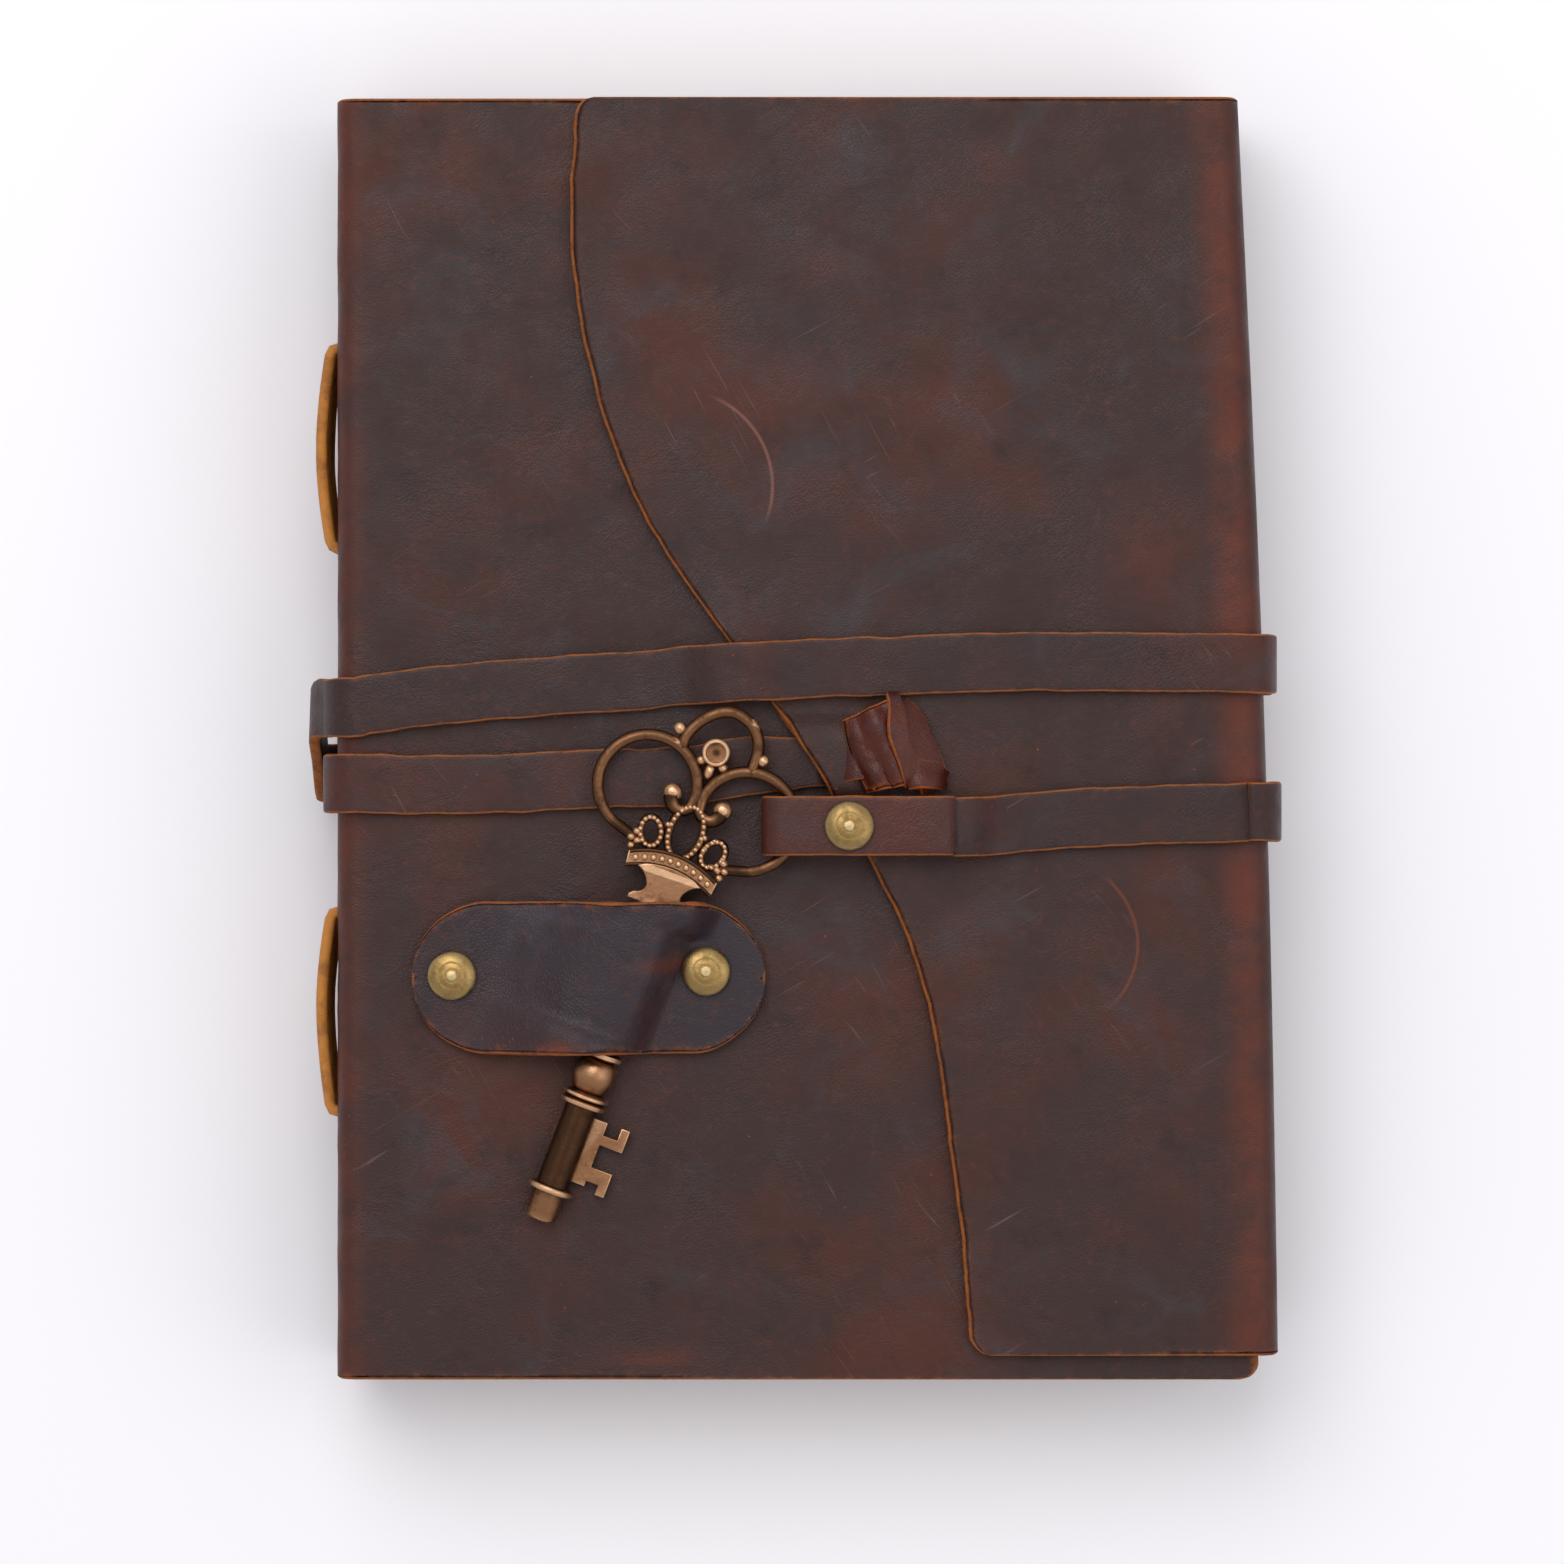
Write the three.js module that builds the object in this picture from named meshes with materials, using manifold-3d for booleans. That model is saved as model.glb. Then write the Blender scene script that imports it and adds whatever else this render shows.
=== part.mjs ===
// A leather wrap journal, closed with a long strap and an antique key.
// Millimetres. It lies on its back cover: +X is the fore edge, +Y the head, +Z up.

import * as THREE from "three";
import { mergeVertices } from "three/addons/utils/BufferGeometryUtils.js";
import Module from "manifold-3d";

const wasm = await Module();
wasm.setup();

// Leather and clearances
const LEATHER = 2.0;
const STRAP = 1.7;
const STRAP_WIDTH = 8.2;
const SEAT_GAP = 0.3;
const LAYER_GAP = 0.5;
const FOLD_RADIUS = 3.0;
const CORNER_RADIUS = 2.6;

// Journal
const COVER_HEIGHT = 178;
const SPINE_X = -64;
const FORE_EDGE_HEAD_X = 61.2;
const FORE_EDGE_TAIL_X = 66.9;
const FORE_EDGE_BOW = 1.0;
const WALL_CLEARANCE = 0.8;
const FLAP_HEIGHT = 174.5;

// Text block
const SIGNATURES = 6;
const SIGNATURE = 2.8;
const PAGE_SETBACK = 8.2;
const PAGE_WIDTH = FORE_EDGE_HEAD_X - SPINE_X - PAGE_SETBACK;
const PAGE_HEIGHT = 170;
const FOLD_CREEP = 0.8;

// Long stitches of tan lacing
const LACING_RADIUS = 0.8;
const STITCH_BOW = 1.2;
const STITCH_LENGTH = 28;
const STITCH_HEAD_Y = 54.6;
const STITCH_TAIL_Y = -24;

// Rivets
const CAP_RADIUS = 3.4;
const CAP_RISE = 1.3;
const POST_RADIUS = 1.4;
const SOCKET_WALL = 0.8;
const BACK_RADIUS = 3.1;
const BACK_THICKNESS = 0.7;
const BACK_PROUD = 0.4;

// Key, in its own frame: +Y from tip to bow, +Z up from its flat back
const KEY_TIP = [-35.7, -66.5];
const KEY_TURN = -20.8;
const KEY_PITCH = 2;
const KEY_AXIS_HEIGHT = 1.6;
const SHANK_RADIUS = 2.3;
const COLLAR_RADIUS = 3.2;
const HIDDEN_SHANK_RADIUS = 1.9;
const BIT_THICKNESS = 1.1;
const CROWN_THICKNESS = 2.6;
const RING_SIDE = 7.3;
const RING_ALONG = 61.7;
const RING_RADIUS = 6.9;
const RING_TUBE = 0.85;
const CUP_RADIUS = 1.9;
const CUP_BORE = 1.35;

// Patch that holds the key
const PATCH_LEATHER = 1.6;
const PATCH_CENTRE = [-28.9, -33.1];
const PATCH_LENGTH = 49;
const PATCH_WIDTH = 21;
const PATCH_RIVET_LEFT = [-47.8, -32.8];
const PATCH_RIVET_RIGHT = [-12.6, -32.2];

// Strap: heights on the journal of each pass, in Y, at the spine and at the fore edge
const FIRST_PASS_SPINE_Y = -6.2;
const SECOND_PASS_SPINE_Y = 4.4;
const SECOND_PASS_BACK_Y = -4.6;
const SECOND_PASS_FORE_Y = 10.4;
const LAST_PASS_FORE_Y = -10.1;
const SLIT_X = 6.3;
const SLIT_Y = -3.4;
const STUB_WIDTH = 6.4;
const LOOP_SLACK = 0.4;
const LOOP_REACH = 23;
const STRAP_RIVET_X = 7.2;

// Levels, from the table up
const INNER_STRAP_Z = STRAP + LAYER_GAP;
const BACK_Z = INNER_STRAP_Z + STRAP + SEAT_GAP;
const BLOCK_Z = BACK_Z + LEATHER + SEAT_GAP;
const BLOCK_TOP = BLOCK_Z + SIGNATURES * (SIGNATURE + SEAT_GAP) - SEAT_GAP;
const COVER_Z = BLOCK_TOP + BACK_PROUD + SEAT_GAP;
const COVER_TOP = COVER_Z + LEATHER;
const FLAP_Z = COVER_TOP + SEAT_GAP;
const FLAP_TOP = FLAP_Z + LEATHER;
const HEAD_Y = COVER_HEIGHT / 2;
const FLAP_TAIL_Y = HEAD_Y - FLAP_HEIGHT;

const clamp01 = (t) => Math.min(1, Math.max(0, t));
const smooth = (from, to, x) => {
  const t = clamp01((x - from) / (to - from));
  return t * t * (3 - 2 * t);
};
const mix = THREE.MathUtils.lerp;
const span = (from, to, count) => Array.from({ length: count + 1 }, (_, i) => mix(from, to, i / count));

// The fore-edge fold leans out toward the tail and bows a little.
const foreEdge = (y) => {
  const t = (HEAD_Y - y) / COVER_HEIGHT;
  return mix(FORE_EDGE_HEAD_X, FORE_EDGE_TAIL_X, t) + FORE_EDGE_BOW * Math.sin(Math.PI * clamp01(t));
};
// Distance that a rounded corner takes off an edge, at a distance from its side
const cornerInset = (distance, radius = CORNER_RADIUS) => {
  const left = radius - Math.min(radius, Math.max(0, distance));
  return radius - Math.sqrt(radius * radius - left * left);
};
// A smooth curve through [x, value] pairs that rise in x
const curveThrough = (points) => (x) => {
  const last = points.length - 2;
  const i = Math.min(last, Math.max(0, points.findIndex((p) => p[0] > x) - 1));
  const k = x >= points[last + 1][0] ? last : i;
  const slope = (a) => {
    const before = points[Math.max(0, a - 1)];
    const after = points[Math.min(last + 1, a + 1)];
    return (after[1] - before[1]) / (after[0] - before[0]);
  };
  const width = points[k + 1][0] - points[k][0];
  const t = clamp01((x - points[k][0]) / width);
  const [a, b] = [points[k][1], points[k + 1][1]];
  const [m, n] = [slope(k) * width, slope(k + 1) * width];
  return a + m * t + (3 * (b - a) - 2 * m - n) * t * t + (2 * (a - b) + m + n) * t * t * t;
};

// Solids
function solidOf(geometry) {
  const bare = geometry.clone();
  bare.deleteAttribute("normal");
  bare.deleteAttribute("uv");
  const merged = mergeVertices(bare, 1e-4);
  const mesh = new wasm.Mesh({
    numProp: 3,
    vertProperties: new Float32Array(merged.attributes.position.array),
    triVerts: new Uint32Array(merged.index.array),
  });
  mesh.merge();
  return new wasm.Manifold(mesh);
}
function geometryOf(solid) {
  const mesh = solid.getMesh();
  const geometry = new THREE.BufferGeometry();
  geometry.setAttribute("position", new THREE.BufferAttribute(mesh.vertProperties, 3));
  geometry.setIndex(new THREE.BufferAttribute(mesh.triVerts, 1));
  return geometry;
}
const joined = (parts) => geometryOf(parts.map(solidOf).reduce((all, part) => all.add(part)));
const cutBy = (geometry, cutters) =>
  geometryOf(cutters.map(solidOf).reduce((left, cutter) => left.subtract(cutter), solidOf(geometry)));

// A closed body from rings of points, all with as many points
function skin(rings) {
  const size = rings[0].length;
  const positions = rings.flat().flatMap((p) => [p.x, p.y, p.z]);
  const index = [];
  for (let r = 0; r + 1 < rings.length; r++) {
    for (let i = 0; i < size; i++) {
      const a = r * size + i;
      const b = r * size + ((i + 1) % size);
      index.push(a, b, b + size, a, b + size, a + size);
    }
  }
  const end = (rings.length - 1) * size;
  for (let i = 1; i + 1 < size; i++) {
    index.push(0, i + 1, i, end, end + i, end + i + 1);
  }
  const geometry = new THREE.BufferGeometry();
  geometry.setAttribute("position", new THREE.Float32BufferAttribute(positions, 3));
  geometry.setIndex(index);
  return geometry;
}

// A leather sheet: a grid of points on its middle, thickened along its own normals
function sheet(grid, thickness) {
  const rows = grid.length;
  const columns = grid[0].length;
  const offset = (side) =>
    grid.map((row, r) =>
      row.map((p, c) => {
        const along = new THREE.Vector3().subVectors(row[Math.min(columns - 1, c + 1)], row[Math.max(0, c - 1)]);
        const across = new THREE.Vector3().subVectors(
          grid[Math.min(rows - 1, r + 1)][c],
          grid[Math.max(0, r - 1)][c],
        );
        return p.clone().addScaledVector(along.cross(across).normalize(), (side * thickness) / 2);
      }),
    );
  const [top, bottom] = [offset(1), offset(-1)];
  const positions = [...top.flat(), ...bottom.flat()].flatMap((p) => [p.x, p.y, p.z]);
  const index = [];
  const under = rows * columns;
  const quad = (a, b, c, d) => index.push(a, b, c, a, c, d);
  for (let r = 0; r + 1 < rows; r++) {
    for (let c = 0; c + 1 < columns; c++) {
      const a = r * columns + c;
      quad(a, a + 1, a + columns + 1, a + columns);
      quad(under + a, under + a + columns, under + a + columns + 1, under + a + 1);
    }
  }
  for (let c = 0; c + 1 < columns; c++) {
    const last = (rows - 1) * columns + c;
    quad(c, under + c, under + c + 1, c + 1);
    quad(last, last + 1, under + last + 1, under + last);
  }
  for (let r = 0; r + 1 < rows; r++) {
    const first = r * columns;
    const last = first + columns - 1;
    quad(first, first + columns, under + first + columns, under + first);
    quad(last, under + last, under + last + columns, last + columns);
  }
  const geometry = new THREE.BufferGeometry();
  geometry.setAttribute("position", new THREE.Float32BufferAttribute(positions, 3));
  geometry.setIndex(index);
  return geometry;
}

// A flat plate with softened edges, from an outline in XY
function plate(shape, z, thickness, soft = 0.35) {
  const geometry = new THREE.ExtrudeGeometry(shape, {
    depth: thickness - 2 * soft,
    bevelThickness: soft,
    bevelSize: soft,
    bevelOffset: -soft,
    bevelSegments: 1,
    curveSegments: 5,
  });
  return geometry.translate(0, 0, z + soft);
}
const cylinder = (radius, x, y, z, height, sides = 20) =>
  new THREE.CylinderGeometry(radius, radius, height, sides)
    .rotateX(Math.PI / 2)
    .translate(x, y, z + height / 2);

// A flat strap along stations: {at, up, width}, with its width across the way it runs
function ribbon(stations, thickness = STRAP) {
  const soft = thickness / 4;
  return skin(
    stations.map(({ at, up, width = STRAP_WIDTH }, i) => {
      const before = stations[Math.max(0, i - 1)].at;
      const after = stations[Math.min(stations.length - 1, i + 1)].at;
      const way = new THREE.Vector3().subVectors(after, before).normalize();
      const side = new THREE.Vector3().crossVectors(up, way).normalize();
      const out = new THREE.Vector3().crossVectors(way, side).normalize();
      const [w, t] = [width / 2, thickness / 2];
      const section = [
        [-w, -t + soft], [-w + soft, -t], [w - soft, -t], [w, -t + soft],
        [w, t - soft], [w - soft, t], [-w + soft, t], [-w, t - soft],
      ];
      return section.map(([a, b]) => at.clone().addScaledVector(side, a).addScaledVector(out, b));
    }),
  );
}
const station = (x, y, z, up = [0, 0, 1], width = STRAP_WIDTH) => ({
  at: new THREE.Vector3(x, y, z),
  up: new THREE.Vector3(...up).normalize(),
  width,
});
// A quarter turn in the XZ plane about (x, z), from one angle to another in degrees
const turn = (x, z, radius, from, to, yFrom, yTo = yFrom, steps = 5) =>
  span(0, 1, steps).map((t) => {
    const angle = THREE.MathUtils.degToRad(mix(from, to, t));
    const [c, s] = [Math.cos(angle), Math.sin(angle)];
    return station(x + radius * c, mix(yFrom, yTo, t), z + radius * s, [c, 0, s]);
  });

// Pieces of the wrap
const spineInner = SPINE_X + FOLD_RADIUS;
const yOutline = (x, edge) => edge - Math.sign(edge) * cornerInset(x - SPINE_X);

function coverPlate(rightAt, z) {
  const left = spineInner + SEAT_GAP;
  const shape = new THREE.Shape();
  const [head, tail] = [HEAD_Y, -HEAD_Y];
  shape.moveTo(left, tail);
  shape.lineTo(rightAt(tail) - CORNER_RADIUS, tail);
  shape.quadraticCurveTo(rightAt(tail), tail, rightAt(tail), tail + CORNER_RADIUS);
  for (const y of span(tail + CORNER_RADIUS, head - CORNER_RADIUS, 6).slice(1)) {
    shape.lineTo(rightAt(y), y);
  }
  shape.quadraticCurveTo(rightAt(head), head, rightAt(head) - CORNER_RADIUS, head);
  shape.lineTo(left, head);
  return plate(shape, z, LEATHER);
}
const backCover = () => coverPlate((y) => foreEdge(y) - FOLD_RADIUS - SEAT_GAP, BACK_Z);
const rivetHoles = ([x, y], z) => [
  cylinder(POST_RADIUS + 2 * SEAT_GAP + SOCKET_WALL, x, y, z - 1, LEATHER + 2),
  cylinder(BACK_RADIUS + SEAT_GAP, x, y, z - 1, 1 + BACK_THICKNESS - BACK_PROUD + SEAT_GAP),
];
const frontCover = () =>
  cutBy(
    coverPlate((y) => foreEdge(y) - LEATHER - WALL_CLEARANCE, COVER_Z),
    [PATCH_RIVET_LEFT, PATCH_RIVET_RIGHT].flatMap((at) => rivetHoles(at, COVER_Z)),
  );

// The profile of a wall with a quarter turn at its foot and head, on the middle of the leather
function wallProfile(footZ, headZ) {
  const r = FOLD_RADIUS - LEATHER / 2;
  const arc = (z, from, to) =>
    span(from, to, 4).map((degrees) => {
      const angle = THREE.MathUtils.degToRad(degrees);
      return [FOLD_RADIUS - r * Math.cos(angle), z + r * Math.sin(angle)];
    });
  return [...arc(footZ + FOLD_RADIUS, -90, 0), ...arc(headZ - FOLD_RADIUS, 0, 90)];
}
const stitchLevel = (i) => BLOCK_Z + SIGNATURE / 2 + i * (SIGNATURE + SEAT_GAP);
function spine() {
  const profile = wallProfile(BACK_Z, COVER_TOP);
  const rows = span(0, 1, 8);
  const grid = rows.map((t) =>
    profile.map(([inset, z]) => {
      const x = SPINE_X + inset;
      return new THREE.Vector3(x, mix(yOutline(x, -HEAD_Y), yOutline(x, HEAD_Y), t), z);
    }),
  );
  const holes = [];
  for (let i = 0; i < SIGNATURES; i++) {
    for (const y of [STITCH_HEAD_Y, STITCH_TAIL_Y].flatMap((top) => [top, top - STITCH_LENGTH])) {
      const hole = new THREE.CylinderGeometry(LACING_RADIUS + SEAT_GAP, LACING_RADIUS + SEAT_GAP, 2 * FOLD_RADIUS, 8);
      holes.push(hole.rotateZ(Math.PI / 2).translate(SPINE_X, y, stitchLevel(i)));
    }
  }
  return cutBy(sheet(grid.reverse(), LEATHER), holes);
}
function foreEdgeWall() {
  const profile = wallProfile(BACK_Z, FLAP_TOP);
  const grid = span(FLAP_TAIL_Y, HEAD_Y, 10).map((y) =>
    profile.map(([inset, z]) => new THREE.Vector3(foreEdge(y) - inset, y, z)),
  );
  return sheet(grid, LEATHER);
}

// The flap: how far it reaches over the cover from the fore-edge fold, by the distance from the head
const flapReach = curveThrough([
  [0, 92], [17, 93.4], [32, 92.7], [47, 89.5], [61, 83.6], [75, 74.3],
  [91, 63.7], [107, 55], [118, 50.2], [130, 47.1], [145, 45.2], [174, 42.6],
]);
const flapEdge = (y) => foreEdge(y) - flapReach(HEAD_Y - y);
// It rises where the start of the strap runs under it, and falls again past the slit.
const STUB_FALL_TAIL = 2.5;
const STUB_FALL_HEAD = 4.2;
const flapLift = (x, y) => {
  const half = STUB_WIDTH / 2 + 0.2;
  const tailSide = smooth(SLIT_Y - half - STUB_FALL_TAIL, SLIT_Y - half, y);
  const headSide = 1 - smooth(SLIT_Y + half, SLIT_Y + half + STUB_FALL_HEAD, y);
  const pastSlit = 1 - smooth(SLIT_X + STRAP / 2, SLIT_X + STRAP / 2 + 4, x);
  return (STRAP + SEAT_GAP) * tailSide * headSide * pastSlit;
};
function flapPanel() {
  const bumpTail = SLIT_Y - STUB_WIDTH / 2 - STUB_FALL_TAIL - 0.2;
  const bumpHead = SLIT_Y + STUB_WIDTH / 2 + STUB_FALL_HEAD + 0.2;
  const ends = [0, 0.6, 1.6, CORNER_RADIUS];
  const ys = [
    ...ends.map((d) => FLAP_TAIL_Y + d),
    ...span(FLAP_TAIL_Y + CORNER_RADIUS, bumpTail, 10).slice(1, -1),
    ...span(bumpTail, bumpHead, 12),
    ...span(bumpHead, HEAD_Y - CORNER_RADIUS, 11).slice(1, -1),
    ...ends.map((d) => HEAD_Y - d).reverse(),
  ];
  const near = [0, 1.5, 3, 4.6, 6.2, 8, 10, 12.5, 16];
  const grid = ys.map((y) => {
    const corner = cornerInset(Math.min(HEAD_Y - y, y - FLAP_TAIL_Y), CORNER_RADIUS);
    const edge = flapEdge(y) + corner;
    const fold = foreEdge(y) - FOLD_RADIUS - SEAT_GAP;
    const xs = [...near.map((d) => edge + d), ...span(edge + near.at(-1), fold, 6).slice(1)];
    return xs.map((x) => new THREE.Vector3(x, y, FLAP_Z + LEATHER / 2 + flapLift(x, y)));
  });
  const slit = new THREE.BoxGeometry(STRAP + 2 * SEAT_GAP, STUB_WIDTH + 2 * SEAT_GAP, 20);
  return cutBy(sheet(grid, LEATHER), [slit.translate(SLIT_X, SLIT_Y, FLAP_Z)]);
}

// Text block
function signature(i) {
  const r = SIGNATURE / 2;
  const width = PAGE_WIDTH - 0.5 * Math.abs(Math.sin(2.3 * i));
  const left = SPINE_X + LEATHER + SEAT_GAP;
  const shape = new THREE.Shape();
  shape.moveTo(left + r, -r);
  shape.lineTo(left + width - FOLD_CREEP, -r);
  shape.lineTo(left + width, 0);
  shape.lineTo(left + width - FOLD_CREEP, r);
  shape.lineTo(left + r, r);
  shape.absarc(left + r, 0, r, Math.PI / 2, (3 * Math.PI) / 2, false);
  const height = PAGE_HEIGHT - 0.6 * Math.abs(Math.cos(1.7 * i));
  return new THREE.ExtrudeGeometry(shape, { depth: height, bevelEnabled: false, curveSegments: 6 })
    .translate(0, 0, -height / 2)
    .rotateX(Math.PI / 2)
    .translate(0, 0, stitchLevel(i));
}
function stitch(top, i) {
  const z = stitchLevel(i);
  const inner = SPINE_X + LEATHER;
  const low = SPINE_X - SEAT_GAP - LACING_RADIUS;
  const bottom = top - STITCH_LENGTH;
  const bow = span(0, 1, 6).map((t) => {
    const y = mix(top - LACING_RADIUS, bottom + LACING_RADIUS, t);
    return new THREE.Vector3(low - STITCH_BOW * Math.sin(Math.PI * t), y, z);
  });
  const path = [new THREE.Vector3(inner, top, z), new THREE.Vector3(low + 0.5, top, z), ...bow];
  path.push(new THREE.Vector3(low + 0.5, bottom, z), new THREE.Vector3(inner, bottom, z));
  const upright = new THREE.Vector3(0, 0, 1);
  const rings = path.map((p, k) => {
    const way = new THREE.Vector3()
      .subVectors(path[Math.min(path.length - 1, k + 1)], path[Math.max(0, k - 1)])
      .normalize();
    const side = new THREE.Vector3().crossVectors(upright, way);
    return span(0, 1, 6).slice(1).map((t) => {
      const angle = 2 * Math.PI * t;
      return p.clone()
        .addScaledVector(side, LACING_RADIUS * Math.cos(angle))
        .addScaledVector(upright, LACING_RADIUS * Math.sin(angle));
    });
  });
  return skin(rings);
}

// Rivets
const lathe = (points, sides = 18) =>
  new THREE.LatheGeometry(points.map(([r, z]) => new THREE.Vector2(r, z)), sides).rotateX(Math.PI / 2);
// A domed cap with a turned ring, whose post reaches down to the back
function rivetCap(grip) {
  return lathe([
    [0, -grip], [POST_RADIUS, -grip], [POST_RADIUS, 0], [CAP_RADIUS - 0.2, 0], [CAP_RADIUS, 0.3],
    [CAP_RADIUS - 0.5, 0.85], [CAP_RADIUS - 1.2, 1.05], [CAP_RADIUS - 1.4, 0.95], [1, CAP_RISE], [0, CAP_RISE],
  ]);
}
// The back: a flange with a socket round the end of the post
function rivetBack(socket) {
  const bore = POST_RADIUS + SEAT_GAP;
  return lathe([
    [0, 0], [BACK_RADIUS - 0.3, 0], [BACK_RADIUS, 0.3], [BACK_RADIUS, BACK_THICKNESS],
    [bore + SOCKET_WALL, BACK_THICKNESS], [bore + SOCKET_WALL, socket], [bore, socket],
    [bore, BACK_THICKNESS - 0.2], [0, BACK_THICKNESS - 0.2],
  ]);
}

// Key, in its own frame
const keyPlace = new THREE.Matrix4()
  .makeRotationZ(THREE.MathUtils.degToRad(KEY_TURN))
  .multiply(new THREE.Matrix4().makeRotationX(THREE.MathUtils.degToRad(KEY_PITCH)))
  .setPosition(KEY_TIP[0], KEY_TIP[1], COVER_TOP + SEAT_GAP);
const keyPoint = (side, along, height) => new THREE.Vector3(side, along, height).applyMatrix4(keyPlace);

const KEY_PROFILE = [
  [0, 0], [1.9, 0], [2.2, 0.4], [2.2, 4], [COLLAR_RADIUS, 4.2], [COLLAR_RADIUS, 4.9],
  [SHANK_RADIUS, 5.1], [SHANK_RADIUS, 16.8], [COLLAR_RADIUS, 17], [COLLAR_RADIUS, 17.6], [2.7, 17.8],
  [COLLAR_RADIUS, 18], [COLLAR_RADIUS, 18.6], [2.2, 18.9], [2.7, 20], [3.1, 21.5], [2.8, 23],
  [2, 23.8], [2.9, 24.1], [2.9, 24.8], [HIDDEN_SHANK_RADIUS, 25], [HIDDEN_SHANK_RADIUS, 47], [0, 47],
];
function tube(points, radius, sides = 6, steps = 24) {
  const section = new THREE.Shape();
  for (let i = 0; i < sides; i++) {
    const angle = (2 * Math.PI * i) / sides;
    const [x, y] = [radius * Math.cos(angle), radius * Math.sin(angle)];
    if (i === 0) section.moveTo(x, y);
    else section.lineTo(x, y);
  }
  const path = new THREE.CatmullRomCurve3(points, false, "centripetal");
  return new THREE.ExtrudeGeometry(section, { steps, extrudePath: path, bevelEnabled: false });
}
// One open ring of the bow: it starts at the crown, goes round, and curls in to a ball.
function scrollRing(side) {
  const flip = (x, y) => new THREE.Vector3(side * x, y, KEY_AXIS_HEIGHT);
  const round = span(-108, -355, 14).map((degrees) => {
    const angle = THREE.MathUtils.degToRad(degrees);
    return flip(-RING_SIDE + RING_RADIUS * Math.cos(angle), RING_ALONG + RING_RADIUS * Math.sin(angle));
  });
  // The left side is drawn as seen; the right one is its mirror image.
  const curl = [[-0.9, 60.6], [-1.9, 60], [-3.1, 60.3], [-3.7, 61.5]].map(([x, y]) => flip(x, y));
  const foot = [flip(-6.2, 54.2)];
  const ball = new THREE.SphereGeometry(1.15, 10, 6).translate(side * -3.7, 62, KEY_AXIS_HEIGHT);
  return [tube([...foot, ...round.slice(1), ...curl], RING_TUBE, 6, 34), ball];
}
function crown() {
  const shape = new THREE.Shape();
  shape.moveTo(-4.4, 46.2);
  shape.lineTo(4.4, 46.2);
  shape.lineTo(4.4, 47.4);
  shape.quadraticCurveTo(2.2, 47.6, 2.6, 49);
  shape.quadraticCurveTo(3, 50.4, 5, 51.2);
  shape.lineTo(6.8, 54);
  shape.quadraticCurveTo(7.2, 57, 4.9, 58.3);
  shape.quadraticCurveTo(3.4, 58.8, 2.7, 57.6);
  shape.quadraticCurveTo(2.6, 61, 0.9, 62.6);
  shape.lineTo(-0.9, 62.6);
  shape.quadraticCurveTo(-2.6, 61, -2.7, 57.6);
  shape.quadraticCurveTo(-3.4, 58.8, -4.9, 58.3);
  shape.quadraticCurveTo(-7.2, 57, -6.8, 54);
  shape.lineTo(-5, 51.2);
  shape.quadraticCurveTo(-3, 50.4, -2.6, 49);
  shape.quadraticCurveTo(-2.2, 47.6, -4.4, 47.4);
  for (const [x, y, a, b, lean] of [[0, 57.7, 1.8, 3.3, 0], [-4.5, 56, 1, 1.6, 0.3], [4.5, 56, 1, 1.6, -0.3]]) {
    const hole = new THREE.Path();
    hole.absellipse(x, y, a, b, 0, 2 * Math.PI, true, lean);
    shape.holes.push(hole);
  }
  return plate(shape, 0.3, CROWN_THICKNESS, 0.25);
}
function bit() {
  const shape = new THREE.Shape();
  const outline = [
    [1, 6.4], [4.2, 6.4], [4.2, 7.2], [5.9, 7.2], [5.9, 5.8], [7.3, 5.8], [7.3, 9.3], [4.2, 9.3],
    [4.2, 12.5], [7.5, 12.5], [7.5, 15.8], [6.2, 15.8], [6.2, 14], [4.2, 14], [4.2, 15.8], [1, 15.8],
  ];
  outline.forEach(([x, y], i) => (i ? shape.lineTo(x, y) : shape.moveTo(x, y)));
  return plate(shape, 0.02, BIT_THICKNESS, 0.2);
}
function key() {
  const turned = lathe(KEY_PROFILE, 16).rotateX(-Math.PI / 2).translate(0, 0, KEY_AXIS_HEIGHT);
  const bail = [[-4.6, 68], [-4.7, 70], [-3, 73.2], [0, 75.2], [3.4, 74.4], [5.2, 72], [5.5, 68]].map(
    ([x, y]) => new THREE.Vector3(x, y, KEY_AXIS_HEIGHT),
  );
  const knobs = [[-5.9, 70.6], [6.5, 70.4]].map(([x, y]) =>
    new THREE.SphereGeometry(0.95, 8, 6).translate(x, y, KEY_AXIS_HEIGHT),
  );
  const cup = lathe([
    [0, 0.4], [CUP_RADIUS, 0.4], [CUP_RADIUS, 3], [CUP_BORE, 3], [CUP_BORE, 1.6], [0, 1.6],
  ], 14).translate(0, 69.2, 0);
  const link = new THREE.BoxGeometry(1.1, 6.4, 1.2).translate(0, 64.8, KEY_AXIS_HEIGHT - 0.3);
  const whole = joined([
    turned, crown(), bit(), ...scrollRing(1), ...scrollRing(-1), tube(bail, RING_TUBE, 6, 14), ...knobs, cup, link,
  ]);
  const under = new THREE.BoxGeometry(60, 200, 10).translate(0, 40, -5);
  return cutBy(whole, [under]).applyMatrix4(keyPlace);
}

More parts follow.
